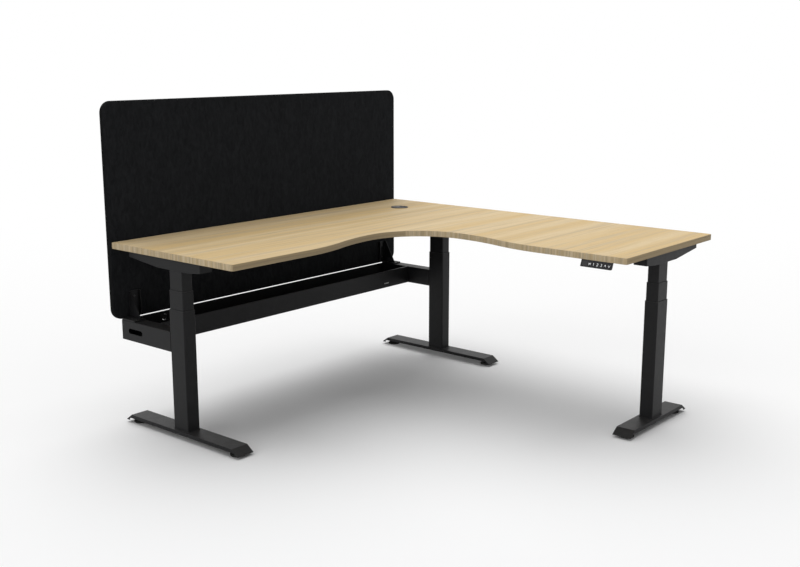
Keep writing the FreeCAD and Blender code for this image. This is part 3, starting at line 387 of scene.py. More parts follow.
coatLook = {
    "dark": (0.0085, 0.0085, 0.0090), "light": (0.0125, 0.0125, 0.0132), "rubbed": (0.05, 0.05, 0.052),
    "rub": 0.35, "edgeReach": 0.0008, "dustColour": (0.16, 0.155, 0.15), "dust": 0.10, "dustRough": 0.5,
    "rough": 0.42, "swing": (-0.04, 0.05), "gloss": 0.16, "glow": 0, "grainPitch": 0.0009, "grainDepth": 0.00006,
}
motorLook = dict(coatLook, dark=(0.03, 0.03, 0.033), light=(0.045, 0.045, 0.049), rough=0.35, gloss=0.4,
                 grainPitch=0.0004)
blackPlasticLook = {
    "dark": (0.012, 0.012, 0.013), "light": (0.018, 0.018, 0.019), "rub": 0, "dustColour": (0.14, 0.135, 0.13),
    "dust": 0.06, "dustRough": 0.0, "rough": 0.48, "swing": (-0.05, 0.05), "gloss": 0.25, "glow": 0,
    "grainPitch": 0.0005, "grainDepth": 0.00003,
}
greyPlasticLook = dict(blackPlasticLook, dark=(0.022, 0.021, 0.020), light=(0.032, 0.030, 0.028), rough=0.50)
capLook = dict(blackPlasticLook, dark=(0.085, 0.078, 0.070), light=(0.125, 0.115, 0.104), gloss=0.2, rough=0.55)
rubberLook = dict(blackPlasticLook, dark=(0.014, 0.014, 0.014), light=(0.022, 0.022, 0.021), rough=0.72,
                  grainPitch=0.0012)
# the print's glow is painted light that makes the marks read brighter
printLook = dict(blackPlasticLook, dark=(0.736, 0.7452, 0.7544), light=(0.80, 0.81, 0.82), dust=0.0, rough=0.5,
                 gloss=0.3, glow=0.30, grainPitch=0.0003, grainDepth=0.00001)
paperLook = dict(printLook, dark=(0.3864, 0.3864, 0.3772), light=(0.42, 0.42, 0.41), rough=0.55, glow=0)
displayLook = dict(printLook, dark=(0.01104, 0.01104, 0.01288), light=(0.012, 0.012, 0.014), rough=0.12, gloss=0.5,
                   glow=0)


def oakMelamine(name, look):
    # the sheet's picture, gloss following its streaks; painted light makes faces along X lighter; bounced light
    # stays grey
    made, tree, at = newMaterial(name)
    sheet = {label: look[label.lower()] for label in ("Honey", "Pale", "Grey", "Dark", "Stripes", "Fine")}
    figure = useGroup(tree, oakFigure, at["Object"], Facing=at["Normal"], **sheet)
    # painted light: faces that look along X are multiplied lighter
    tone = mixedColour(tree, figure["Side"], figure["Color"], (look["paintedSideLight"],) * 3, "MULTIPLY")
    bounced = addNode(tree, "LightPath")["Is Diffuse Ray"]
    tone = mixedColour(tree, bounced, tone, addNode(tree, "RGBToBW", {0: tone})[0])
    rough = mapped(tree, figure["Streaks"], *look["streaks"], *(look["rough"] + swing for swing in look["swing"]))
    return principled(made, tone, rough, figure["Height"], look["grainDepth"], look["gloss"])


oakTopLook = {
    "honey": (0.670, 0.490, 0.245), "pale": (0.715, 0.560, 0.335), "grey": (0.545, 0.440, 0.300),
    "dark": (0.420, 0.290, 0.140), "stripes": 0.7, "fine": 1.3, "paintedSideLight": 1.0, "rough": 0.58,
    "streaks": (0.3, 0.7), "swing": (-0.05, 0.06), "gloss": 0.10, "grainDepth": 0.00005,
}
# the band's tones are darker than the top's: partly its own greyer tone, partly painted shade on its upright faces
oakEdgeShadedLook = dict(oakTopLook, honey=(0.43, 0.33, 0.195), pale=(0.50, 0.41, 0.27), grey=(0.30, 0.245, 0.17),
                   dark=(0.16, 0.120, 0.070), stripes=0.85, fine=9.0, paintedSideLight=1.3)


def pressedFelt(name, look):
    # near black fibres: blotched tone, hairs in the bump, and a darker rim where the surface turns away from Y
    made, tree, at = newMaterial(name)
    fibres = useGroup(tree, feltFibres, at["Object"])
    tone = mixedColour(tree, fibres["Mottle"], look["dark"], look["light"])
    turned = mathNode(tree, "ABSOLUTE", axesOf(tree, at["Normal"])["Y"])
    tone = mixedColour(tree, mapped(tree, turned, *look["rim"], 1.0, 0.0), tone, look["cut"])
    rough = mapped(tree, fibres["Mottle"], 0.0, 1.0, *look["rough"])
    return principled(made, tone, rough, fibres["Height"], look["fibreDepth"], look["gloss"], {
        "Sheen Weight": look["sheen"], "Sheen Roughness": look["sheenRough"], "Sheen Tint": look["sheenTint"]})


feltLook = {
    # cut is the darker tone of the rim
    "dark": (0.0084, 0.0089, 0.0097), "light": (0.0192, 0.0198, 0.0212), "cut": (0.004, 0.0042, 0.0043),
    "rim": (0.35, 0.75), "rough": (0.92, 1.0), "gloss": 0.08, "fibreDepth": 0.0005,
    "sheen": 0.02, "sheenRough": 0.6, "sheenTint": (0.55, 0.56, 0.6),
}


def platedSteel(name, look):
    # clear metal whose gloss is broken by rolling marks along X and a faint clouding
    made, tree, at = newMaterial(name)
    marks = noise(tree, at["Object"], **look["marks"])
    cloud = useGroup(tree, fineGrain, at["Object"], Pitch=look["cloudPitch"])["Mottle"]
    tone = mixedColour(tree, cloud, look["dark"], look["light"])
    rough = mapped(tree, marks, *look["spread"], look["rough"] - look["swing"], look["rough"] + look["swing"])
    rough = mathNode(tree, "ADD", rough, product(tree, cloud, look["swing"]))
    return principled(made, tone, rough, marks, look["markDepth"], more={"Metallic": look["metal"]})


zincLook = {
    "dark": (0.50, 0.51, 0.54), "light": (0.66, 0.66, 0.67), "rough": 0.30, "metal": 1.0, "swing": 0.08,
    "marks": {"stretch": (60.0, 900.0, 900.0), "detail": 3.0, "rough": 0.6}, "spread": (0.3, 0.7),
    "cloudPitch": 0.0005, "markDepth": 0.00002,
}
blackSteelLook = dict(zincLook, dark=(0.030, 0.030, 0.032), light=(0.055, 0.054, 0.053), rough=0.34, metal=0.7)

looks = {
    "powder_coat_black": coated("powderCoat", coatLook),
    "melamine_oak": oakMelamine("oakTop", oakTopLook),
    "edge_band_oak": oakMelamine("oakEdge", oakEdgeShadedLook),
    "felt_charcoal": pressedFelt("felt", feltLook),
    "plastic_black": coated("blackPlastic", blackPlasticLook),
    "plastic_grey": coated("greyPlastic", greyPlasticLook),
    "display_black": coated("displayWindow", displayLook),
    "steel_zinc": platedSteel("zincSteel", zincLook),
    "steel_blackened": platedSteel("blackScrews", blackSteelLook),
    "motor_case": coated("motorPaint", motorLook),
}
rubber = coated("glideRubber", rubberLook)
capPlastic = coated("grommetCapPlastic", capLook)
keyPrint = coated("keyPrint", printLook)
labelPaper = coated("labelPaper", paperLook)

slotOf = {row["node"]: row["material_slot"] for row in frame["record"]["subparts"]}
for name, node in nodes.items():
    node.data.materials.clear()
    node.data.materials.append(capPlastic if name == "grommet_cap" else looks[slotOf[name]])
print("materials made:", len(bpy.data.materials))


# mesh helpers

def boxOf(name):
    low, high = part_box(name)
    return np.array(low), np.array(high)


def gridFaces(rows, columns, roundColumns=True, roundRows=False):
    # quads between neighbouring rows and columns of points numbered row by row
    row = np.arange(rows if roundRows else rows - 1)[:, None]
    column = np.arange(columns if roundColumns else columns - 1)
    nextRow = (row + 1) % rows
    nextColumn = (column + 1) % columns
    corners = [row * columns + column, row * columns + nextColumn,
               nextRow * columns + nextColumn, nextRow * columns + column]
    return np.stack(corners, axis=-1).reshape(-1, 4)


def pointed(rings):
    # the end rings repeated and drawn together to their middles
    tips = rings[[0, -1]].mean(axis=1, keepdims=True) + 0 * rings[[0, -1]]
    return np.concatenate([tips[:1], rings, tips[1:]])


def newPiece(name, parts, body, instead=(), slot=None, sharp=35.0, material=None):
    # one mesh of grids with their faces, or of stacks of closed rings; doubles are merged, which closes poles
    # and seams, and the faces are turned outwards
    parts = [part if isinstance(part, tuple) else (part, gridFaces(*part.shape[:2])) for part in parts]
    starts = np.cumsum([0] + [grid[..., 0].size for grid, quads in parts])
    points = np.concatenate([grid.reshape(-1, 3) for grid, quads in parts])
    faces = np.concatenate([quads + start for (grid, quads), start in zip(parts, starts)])
    mesh = bpy.data.meshes.new(name)
    mesh.from_pydata(points.tolist(), [], faces.tolist())
    shell = bmesh.new()
    shell.from_mesh(mesh)
    bmesh.ops.remove_doubles(shell, verts=shell.verts, dist=1e-6)
    bmesh.ops.dissolve_degenerate(shell, edges=shell.edges, dist=1e-7)
    bmesh.ops.recalc_face_normals(shell, faces=shell.faces)
    shell.to_mesh(mesh)
    shell.free()
    mesh.shade_smooth()
    mesh.set_sharp_from_angle(angle=math.radians(sharp))
    mesh.materials.append(material or looks[slot])
    piece = placed(name, mesh)
    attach(piece, body)
    if instead:
        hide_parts(*instead)


def compass(angles):
    # unit directions at angles in radians
    return np.stack([np.cos(angles), np.sin(angles)], axis=-1)


def roundAngles(count):
    return np.arange(count) * 2 * np.pi / count


def hexagon(angles, flat):
    # the radius of a hexagon: the distance of its flats over the cosine of the angle from the nearest one
    return flat / np.cos((angles + np.pi / 6) % (np.pi / 3) - np.pi / 6)


axisX, axisY, axisZ = np.eye(3)


def turned(places, first, second, out, radii, heights):
    # at each place a stack of rings: each radius is carried round from the first direction towards the second,
    # and each height is laid off along the way out
    places, first, second, out = (np.atleast_2d(part)[:, None, None] for part in (places, first, second, out))
    angles = roundAngles(radii.shape[1])[:, None]
    ring = first * np.cos(angles) + second * np.sin(angles)
    return places + radii[..., None] * ring + heights[..., None] * out


def roundedRectangle(width, height, radius, perCorner):
    # four quarter circles joined by straight sides: the points, and normals that point out of it
    normals = compass((np.arange(4)[:, None] * 90 + np.linspace(0, 90, perCorner)) * np.pi / 180)
    signs = np.array([(1, 1), (-1, 1), (-1, -1), (1, -1)])[:, None]
    centres = signs * (width / 2 - radius, height / 2 - radius)
    return (centres + radius * normals).reshape(-1, 2), normals.reshape(-1, 2)


def runAlong(path):
    # the distance along a line of points from its first
    return np.append(0, np.cumsum(np.linalg.norm(np.diff(path, axis=0), axis=1)))


# legs: each column's own frame, the foot along its Y

legTurn = {"left": 0.0, "corner": 0.0, "return": -90.0}
legPlace = {leg: sum(boxOf("outer_tube_" + leg))[:2] / 2 for leg in legTurn}


def atLeg(points, leg):
    # turned about the upright through the column's middle
    x, y, z = np.moveaxis(np.asarray(points, float), -1, 0)
    turn, middle = math.radians(legTurn[leg]), legPlace[leg]
    return np.stack([middle[0] + x * math.cos(turn) - y * math.sin(turn),
                     middle[1] + x * math.sin(turn) + y * math.cos(turn), z], axis=-1)


def atLegs(points):
    return np.concatenate([atLeg(points, leg) for leg in legTurn])


def fourAround(x, y, z):
    return [(a * x, b * y, z) for a in (-1, 1) for b in (-1, 1)]


# the felt screen

screenLook = {
    "edgeRadius": 0.0045, "cornerRadius": 0.048, "columns": 150, "rows": 70, "cornerSteps": 16, "edgeSteps": 7,
    "swell": 0.0006, "swellWaves": (9, 11), "swellStart": 1.3, "swellFade": 0.1,
}


def screenGrid(width, height, inset):
    # columns step evenly across and bunch up round the corners; each runs from the lower to the upper outline,
    # which near an end is the circle of the corner, shrunk by the inset
    radius = screenLook["cornerRadius"] - inset
    turn = np.linspace(0, np.pi / 2, screenLook["cornerSteps"])
    ends = width / 2 - screenLook["cornerRadius"]
    middle = np.linspace(-ends, ends, screenLook["columns"])[1:-1]
    x = np.concatenate([-ends - radius * np.cos(turn), middle, (ends + radius * np.cos(turn))[::-1]])
    rise = radius * (1 - np.sin(turn))
    low = inset + np.concatenate([rise, np.zeros(len(middle)), rise[::-1]])
    share = np.linspace(0, 1, screenLook["rows"])
    z = low[:, None] + (height - 2 * low[:, None]) * share
    return np.stack([np.broadcast_to(x[:, None], z.shape), z], axis=-1)


def rimOf(grid):
    # the border of a grid, once round
    return np.concatenate([grid[:, 0], grid[-1, 1:], grid[-2::-1, -1], grid[0, -2:0:-1]])


def makeScreen():
    # two faces that swell with the squares of two sines, less towards the lower and upper edge, joined by rims
    # whose inset and depth follow two quarter circles
    look = screenLook
    low, high = boxOf("screen_panel")
    width, thick, height = high - low
    middleX = (low[0] + high[0]) / 2
    edge = look["edgeRadius"]
    face = screenGrid(width, height, edge)
    across, up = face[..., 0], face[..., 1]
    wave = look["swell"] * np.sin(across * look["swellWaves"][0] + look["swellStart"]) ** 2
    wave = wave * np.sin(up * look["swellWaves"][1]) ** 2
    wave *= np.clip(np.minimum(up - edge, height - edge - up) / look["swellFade"], 0, 1)
    turn = np.linspace(0, np.pi / 2, look["edgeSteps"])
    inset = np.concatenate([edge * (1 - np.sin(turn)), edge * (1 - np.cos(turn))])
    depth = np.concatenate([edge * (1 - np.cos(turn)), thick - edge * (1 - np.sin(turn))])
    faces = gridFaces(*face.shape[:2], roundColumns=False)
    parts = [(np.stack([across + middleX, y + bulge, up + low[2]], axis=-1), faces)
             for y, bulge in ((low[1], wave), (high[1], -wave))]
    loops = np.stack([rimOf(screenGrid(width, height, value)) for value in inset])
    back = np.broadcast_to((low[1] + depth)[:, None], loops.shape[:2])
    parts.append(np.stack([loops[..., 0] + middleX, back, loops[..., 1] + low[2]], axis=-1))
    newPiece("screenFelt", parts, "frame", ["screen_panel"], "felt_charcoal", 60.0)


makeScreen()
print("screen made")


# the worktop's edge band

bandLook = {
    "length": 1.800, "depth": 0.750, "waistDepth": 0.685, "sweepStart": 1.400, "waistStart": 0.950,
    "cornerRadius": 0.010, "thickness": 0.002, "arris": 0.0013,
    "roundSteps": 9, "sweepSteps": 20, "insideSteps": 40, "arrisSteps": 6,
}


def arcRun(centre, radius, start, end, count, hollow=False):
    # points on a circle between two angles in degrees, with the normals that point out of the board, which on a
    # hollow arc point to the centre
    out = compass(np.linspace(start, end, count) * np.pi / 180)
    return centre + radius * out, -out if hollow else out


def sweepRun():
    # two equal arcs that take the front edge from the wing's depth to the waist's; the first bends towards the
    # board and the second away from it
    look = bandLook
    run = look["sweepStart"] - look["waistStart"]
    rise = look["depth"] - look["waistDepth"]
    radius = (run ** 2 + rise ** 2) / (4 * rise)
    turn = math.degrees(math.asin(run / 2 / radius))
    steps = look["sweepSteps"]
    return [arcRun((look["sweepStart"], look["depth"] - radius), radius, 90, 90 + turn, steps),
            arcRun((look["waistStart"], look["waistDepth"] + radius), radius, -90 + turn, -90, steps, True)]


def worktopOutline():
    # one wing in its own measures, distance along from the corner and depth from the back, then the quarter
    # circle inside the L, then the same wing with the two measures swapped
    look = bandLook
    radius, length, depth, steps = (look[key] for key in ("cornerRadius", "length", "depth", "roundSteps"))
    wing = [arcRun((length - radius, radius), radius, -90, 0, steps),
            arcRun((length - radius, depth - radius), radius, 0, 90, steps)] + sweepRun()
    middle = look["waistStart"]
    inside = arcRun((middle, middle), middle - look["waistDepth"], -90, -180, look["insideSteps"], True)
    inside = tuple(part[1:-1] for part in inside)
    swapped = [(points[::-1, ::-1], normals[::-1, ::-1]) for points, normals in reversed(wing)]
    runs = wing + [inside] + swapped + [arcRun((radius, radius), radius, 180, 270, steps)]
    points, normals = (np.concatenate(part) for part in zip(*runs))
    return boxOf("edge_band")[1][:2] - points, -normals


def makeEdgeBand():
    # the band's section, a thin upright strip with its two outer arrises rounded, carried round the outline
    low, high = boxOf("edge_band")
    outline, normals = worktopOutline()
    arris, thick = bandLook["arris"], bandLook["thickness"]
    turn = np.linspace(0, np.pi / 2, bandLook["arrisSteps"])
    rounded, drop = arris * (1 - np.sin(turn)), arris * (1 - np.cos(turn))
    inset = np.concatenate([[thick], rounded, rounded[::-1], [thick]])
    height = np.concatenate([[high[2]], high[2] - drop, (low[2] + drop)[::-1], [low[2]]])
    ring = outline[:, None] - normals[:, None] * inset[:, None]
    points = np.concatenate([ring, np.broadcast_to(height[:, None], (*ring.shape[:2], 1))], axis=-1)
    faces = gridFaces(*ring.shape[:2], roundRows=True)
    newPiece("edgeBand", [(points, faces)], "top", ["edge_band"], "edge_band_oak")


makeEdgeBand()
print("edge band made")


# screws

screwLook = {
    "headRadius": 0.005, "headHeight": 0.0024, "socket": 0.0017, "socketDepth": 0.0014, "socketFloor": 0.9,
    "socketEdge": 0.0002, "brim": 0.97, "domeSteps": 7, "domeDrop": 0.62, "domePower": 2.6, "rim": 0.3,
    "shank": 0.0022, "tip": 0.001, "around": 24,
    "depths": {"tray_screws": 0.008, "screen_screws": 0.0079, "drive_screws": 0.016, "worktop_screws": 0.014},
}


def makeScrews(name, places, normals, body, slot):
    # a head turned about its normal: a six-sided socket, a low dome that falls with a power of the radius, a
    # rim, then the shank down to a blunt tip
    look = screwLook
    six = hexagon(roundAngles(look["around"]), look["socket"])
    ones, middle = np.ones_like(six), np.zeros_like(six)
    height, depth = look["headHeight"], look["depths"][name]
    floor = height - look["socketDepth"]
    out = six + (look["headRadius"] * look["brim"] - six) * np.linspace(0, 1, look["domeSteps"])[:, None]
    dome = height * (1 - look["domeDrop"] * (out / look["headRadius"]) ** look["domePower"])
    head, shank = look["headRadius"] * ones, look["shank"] * ones
    radii = np.vstack([middle, six * look["socketFloor"], six, out, head, head, shank, shank, shank / 2, middle])
    inner = [floor, floor, floor + look["socketEdge"]]
    outer = [height * look["rim"], 0, 0, look["tip"] - depth, -depth, -depth]
    heights = np.vstack([np.outer(inner, ones), dome, np.outer(outer, ones)])
    normals = np.zeros((len(places), 3)) + normals
    first = np.cross(np.where(np.abs(normals[:, 2:]) > 0.9, axisX, axisZ), normals)
    first /= np.linalg.norm(first, axis=-1, keepdims=True)
    screws = turned(places, first, np.cross(normals, first), normals, radii, heights)
    newPiece(name + "Detailed", screws, body, [name], slot, 40.0)


trayLow, trayHigh = boxOf("cable_tray")
screenFront = boxOf("screen_panel")[0][1]
underside = boxOf("worktop")[0][2]
bracketFloor = boxOf("top_bracket_left")[0][2]

screwPlaces = {
    "traySheet": 0.0015, "trayInset": 0.035, "trayRise": 0.011,
    "bracketX": 0.797, "bracketSheet": 0.003, "bracketMiddle": 0.5085, "bracketPitch": 0.060,
    "footX": 0.8415, "footY": (0.816, 0.846), "footTop": 0.452,
    "driveLocal": (0.012, 0.0482), "tabX": 0.015, "tabY": (-0.136, 0.272), "tabSheet": 0.0025,
    "controlX": (-0.048, 0.258), "controlY": (0.5085, 0.5475), "earSheet": 0.003,
    "handsetX": 0.172, "handsetY": (-0.816, -0.748),
}
place = screwPlaces
trayX = (trayLow[0] + place["traySheet"], trayHigh[0] - place["traySheet"])
trayY = (trayHigh[1] - place["trayInset"], trayLow[1] + place["trayInset"])
trayPoints = [(x, y, trayLow[2] + place["trayRise"]) for x in trayX for y in trayY]
webPoints = [(side * place["bracketX"], screenFront - place["bracketSheet"],
              place["bracketMiddle"] + step * place["bracketPitch"] / 2) for side in (-1, 1) for step in (-1, 1)]
footPoints = [(side * place["footX"], y, place["footTop"]) for side in (-1, 1) for y in place["footY"]]
drivePoints = atLegs(fourAround(*place["driveLocal"], bracketFloor))
tabPoints = atLegs([(side * place["tabX"], y, underside - place["tabSheet"])
                    for side in (-1, 1) for y in place["tabY"]])
earPoints = [(x, y, underside - place["earSheet"]) for x in place["controlX"] for y in place["controlY"]]
earPoints += [(place["handsetX"], y, underside - place["earSheet"]) for y in place["handsetY"]]
woodPoints = np.concatenate([tabPoints, earPoints])
makeScrews("tray_screws", trayPoints, [(1, 0, 0)] * 2 + [(-1, 0, 0)] * 2, "frame", "steel_blackened")
makeScrews("screen_screws", webPoints + footPoints, [(0, -1, 0)] * 4 + [(0, 0, 1)] * 4, "frame", "steel_blackened")
makeScrews("drive_screws", drivePoints, (0, 0, -1), "top", "steel_blackened")
makeScrews("worktop_screws", woodPoints, (0, 0, -1), "top", "steel_zinc")
print("screws made")


# foot bolts: hexagon heads on washers, under each foot's sheet

boltLook = {
    "local": (0.0168, 0.0324), "flat": 0.0060, "headHeight": 0.0045, "face": 0.92, "chamfer": 1.04,
    "faceEdge": 0.0002, "chamferEdge": 0.0007, "washer": 0.0070, "washerHeight": 0.0012,
    "shank": 0.004, "shankLength": 0.008, "around": 36,
}


def makeBolts():
    # a turned stack whose head follows a hexagon with its corners chamfered off by a larger circle
    look = boltLook
    six = hexagon(roundAngles(look["around"]), look["flat"])
    cut = np.minimum(six, look["flat"] * look["chamfer"])
    middle, washer, shank = (np.full_like(six, radius) for radius in (0, look["washer"], look["shank"]))
    radii = np.vstack([middle, cut * look["face"], cut, six, six, washer, washer, shank, shank, middle])
    top, step, end = look["headHeight"], look["washerHeight"], -look["shankLength"]
    heights = np.array([top, top, top - look["faceEdge"], top - look["chamferEdge"], step, step, 0, 0, end, end])
    places = atLegs(fourAround(*look["local"], boxOf("foot_bolts")[0][2] + top))
    bolts = turned(places, axisX, axisY, -axisZ, radii, heights[:, None])
    newPiece("footBoltsDetailed", bolts, "frame", ["foot_bolts"], "steel_zinc", 30.0)


makeBolts()


# levelling glides

glideLook = {
    "rimRadius": 0.030, "rimHeight": 0.0075, "scallops": 24, "scallopDepth": 0.0009, "hubRadius": 0.0085,
    "hubShare": 0.93, "hubCut": 1.04, "hubTop": 0.012, "shoulderHeight": 0.0094, "stemRadius": 0.0049,
    "stemTop": 0.031, "tipShare": 0.75, "tipPitches": 0.6, "pitch": 0.0015, "threadDepth": 0.0007,
    "stepsPerPitch": 6, "around": 96,
    # from the floor to the stem: a circle, the share of its radius, what is taken off it, a level, what is added
    "profile": [("rim", 0, 0, "floor", 0), ("rim", 0.80, 0, "floor", 0), ("scallop", 0.965, 0, "floor", 0),
                ("scallop", 1, 0.0003, "floor", 0.0006), ("scallop", 1, 0, "floor", 0.0014),
                ("scallop", 1, 0, "rimHeight", -0.0010), ("scallop", 1, 0.0004, "rimHeight", -0.0003),
                ("scallop", 1, 0.0012, "rimHeight", 0), ("rim", 0.7, 0, "rimHeight", 0.0008),
                ("rim", 0.45, 0, "shoulderHeight", -0.0002), ("six", 1, 0, "shoulderHeight", 0),
                ("six", 1, 0, "hubTop", -0.0004), ("six", 1, 0.0004, "hubTop", 0), ("stem", 1, 0, "hubTop", 0)],
}


def makeGlide(leg, end):
    # a turned foot whose rim dips between scallops, a six-sided hub, and a stem on which the radius falls with
    # the distance to the nearest crest of a helix
    look = glideLook
    node = "glide_" + leg + "_" + end
    low, high = boxOf(node)
    place = [*(low + high)[:2] / 2, low[2]]
    angles = roundAngles(look["around"])
    ones, hub = np.ones_like(angles), look["hubRadius"]
    dips = np.abs(np.sin(angles * look["scallops"] / 2)) ** 3
    circles = {
        "rim": ones * look["rimRadius"], "scallop": look["rimRadius"] - look["scallopDepth"] * dips,
        "six": np.minimum(hexagon(angles, hub) * look["hubShare"], hub * look["hubCut"]),
        "stem": ones * look["stemRadius"],
    }
    levels = dict(look, floor=0.0)
    rows = [circles[circle] * share - less for circle, share, less, level, more in look["profile"]]
    steps = [levels[level] + more for circle, share, less, level, more in look["profile"]]
    pitch, top = look["pitch"], look["stemTop"]
    stem = np.arange(look["hubTop"], top - pitch, pitch / look["stepsPerPitch"])[1:]
    lead = (stem[:, None] / pitch - angles / (2 * np.pi)) % 1.0
    thread = look["stemRadius"] - look["threadDepth"] * np.abs(lead - 0.5) * 2
    radii = np.vstack(rows + [thread, circles["stem"] * look["tipShare"], ones * 0])
    heights = np.concatenate([steps, stem, [top - pitch * look["tipPitches"], top]])[:, None]
    glide = turned(place, axisX, axisY, axisZ, radii, heights)
    newPiece(node + "_turned", glide, node + "_body", [node], "plastic_black", 30.0, rubber)


for legName in legTurn:
    for endName in ("front", "back"):
        makeGlide(legName, endName)
print("glides and bolts made")


# weld beads

weldLook = {
    "size": 0.0026, "pitch": 0.0022, "ripple": 0.13, "rippleMean": 0.6, "fadeTo": 0.25, "fill": 0.92,
    "sink": 0.0004, "overlap": 0.12, "section": 7, "stepsPerPitch": 6,
    "tubeCorner": 0.0045, "cornerSteps": 8, "armInset": 0.004, "railInset": 0.003, "railWidth": 0.030,
}


def beadAlong(path, first, second):
    # a fat quarter round between two walls; its size pulses along the path as the puddle was laid and fades at
    # open ends, and the section is closed by a corner sunk into the joint
    look = weldLook
    first, second = (np.broadcast_to(wall, path.shape)[:, None] for wall in (first, second))
    run = runAlong(path)
    size = look["size"] * (1 + look["ripple"] * (np.abs(np.sin(np.pi * run / look["pitch"])) - look["rippleMean"]))
    if np.linalg.norm(path[0] - path[-1]) > 1e-5:
        size = size * np.clip(np.minimum(run, run[-1] - run) / look["size"], look["fadeTo"], 1)
    turn = np.linspace(-look["overlap"], 1 + look["overlap"], look["section"])[:, None] * np.pi / 2
    arc = np.cos(turn) * first + np.sin(turn) * second
    arc = path[:, None] + size[:, None, None] * (arc * look["fill"])
    sunk = path[:, None] - look["sink"] * (first + second)
    return np.concatenate([arc, sunk], axis=1)


def makeColumnWelds():
    # a bead on the foot round each outer tube, whose outline is walked in even steps
    beads = []
    for leg in legTurn:
        low, high = boxOf("outer_tube_" + leg)
        size = (high - low)[:2] if legTurn[leg] == 0 else (high - low)[1::-1]
        outline, normals = roundedRectangle(*size, weldLook["tubeCorner"], weldLook["cornerSteps"])
        loop, turns = (np.concatenate([part, part[:1]]) for part in (outline, normals))
        run = runAlong(loop)
        at = np.linspace(0, run[-1], int(run[-1] / weldLook["pitch"] * weldLook["stepsPerPitch"]))
        path, out = (np.stack([np.interp(at, run, part[:, axis]) for axis in (0, 1)] + [at * 0 + z], axis=-1)
                     for part, z in ((loop, low[2]), (turns, 0)))
        out /= np.linalg.norm(out, axis=1, keepdims=True)
        beads.append(atLeg(beadAlong(path, out, axisZ), leg))
    newPiece("columnWelds", beads, "frame", (), "powder_coat_black", 80.0)


def makeStraightWelds(name, seams, body):
    # each seam is a start, an end and the directions of its two walls
    beads = []
    for begin, end, first, second in np.array(seams, float):
        count = int(np.linalg.norm(end - begin) / weldLook["pitch"] * weldLook["stepsPerPitch"])
        path = begin + (end - begin) * np.linspace(0, 1, count)[:, None]
        beads.append(pointed(beadAlong(path, first, second)))
    newPiece(name, beads, body, (), "powder_coat_black", 80.0)


def armSeams():
    # above and below each side arm, where it meets its column
    seams, inset = [], weldLook["armInset"]
    for leg in ("left", "corner"):
        low, high = boxOf("side_arm_" + leg)
        for z, up in ((high[2], 1), (low[2], -1)):
            seams.append(((low[0] + inset, low[1], z), (high[0] - inset, low[1], z), (0, 0, up), (0, 1, 0)))
    return seams


def railSeams(node, ends, sides):
    # both sides of each of a node's two rails where it meets a bracket's side; the rails run along the axis ends
    # and stand apart along the axis sides
    low, high = boxOf(node)
    width, inset, seams = weldLook["railWidth"], weldLook["railInset"], []
    for side, at in ((-1, low[sides]), (1, low[sides] + width), (-1, high[sides] - width), (1, high[sides])):
        for end, way in ((low[ends], 1), (high[ends], -1)):
            seam = np.zeros((4, 3))
            seam[:2, ends], seam[:2, sides] = end, at
            seam[:2, 2] = low[2] + inset, high[2] - inset
            seam[2, sides], seam[3, ends] = side, way
            seams.append(seam)
    return seams


makeColumnWelds()
makeStraightWelds("armWelds", armSeams(), "frame")
makeStraightWelds("railWelds", railSeams("main_rails", 0, 1) + railSeams("return_rails", 1, 0), "top")
print("welds made")


# handset: dished keys and their marks, in the tilted frame of its face

handsetLook = {
    "topX": 0.150, "farY": -0.714, "faceHeight": 0.030, "tiltDegrees": 22.0, "keyFrom": 0.041, "keyPitch": 0.017,
    "keySize": (0.011, 0.012), "cornerRadius": 0.0025, "below": 0.0017, "above": 0.0009,
    "dish": 0.0005, "shoulder": 0.0004, "cornerSteps": 7, "dishSteps": 9, "shoulderSteps": 5,
    "markHeight": 0.010, "markStroke": 0.0015, "markRise": 0.0001, "mitreLimit": 0.35,
}
lean = math.radians(handsetLook["tiltDegrees"])
faceOut = np.array((-math.cos(lean), 0, math.sin(lean)))
faceUp = np.array((math.sin(lean), 0, math.cos(lean)))
faceAlong = -axisY


def onFace(number, flat, out):
    # a key's own frame: flat runs along the handset towards the desk's end and up its face, out away from it
    look = handsetLook
    edge = (look["topX"], look["farY"], underside) - faceUp * look["faceHeight"] / 2
    centre = edge + faceAlong * (look["keyFrom"] + number * look["keyPitch"])
    return centre + flat[..., :1] * faceAlong + flat[..., 1:] * faceUp + out[..., None] * faceOut


def makeKey(name, number):
    # rings of a rounded rectangle grow from the centre; the top sinks with the square of how near the centre a
    # ring is, then turns over a small shoulder and drops to the base
    look = handsetLook
    shoulder = look["shoulder"]
    outline, normals = roundedRectangle(*look["keySize"], look["cornerRadius"], look["cornerSteps"])
    inner = outline - normals * shoulder
    share = np.linspace(0, 1, look["dishSteps"])
    turn = np.linspace(0, np.pi / 2, look["shoulderSteps"])[1:]
    side = inner + normals * (shoulder * np.sin(turn))[:, None, None]
    ring = np.concatenate([share[:, None, None] * inner, side, np.stack([outline, outline * 0])])
    out = np.concatenate([look["above"] - look["dish"] * (1 - share ** 2),
                          look["above"] - shoulder * (1 - np.cos(turn)), [-look["below"]] * 2])
    points = onFace(number, ring, np.broadcast_to(out[:, None], ring.shape[:2]))
    newPiece(name + "_cap", [points], name + "_body", [name], "plastic_black", 50.0)


def curvePart(centreV, radius, start, end):
    # nine points on a circle in the middle of the cell
    return compass(np.linspace(start, end, 9) * np.pi / 180) * radius + (0, centreV)


markStrokes = {  # on a cell from -0.5 to 0.5 high
    "key_memory": [(-0.38, -0.5), (-0.38, 0.5), (0, -0.05), (0.38, 0.5), (0.38, -0.5)],
    "key_one": [(-0.16, 0.32), (0.05, 0.5), (0.05, -0.5)],
    "key_two": np.concatenate([curvePart(0.20, 0.30, 165, -35), [(-0.34, -0.5), (0.36, -0.5)]]),
    "key_three": np.concatenate([curvePart(0.25, 0.25, 150, -75), curvePart(-0.23, 0.29, 70, -150)]),
    "key_up": [(-0.38, -0.34), (0, 0.38), (0.38, -0.34)],
    "key_down": [(-0.38, 0.34), (0, -0.38), (0.38, 0.34)],
}


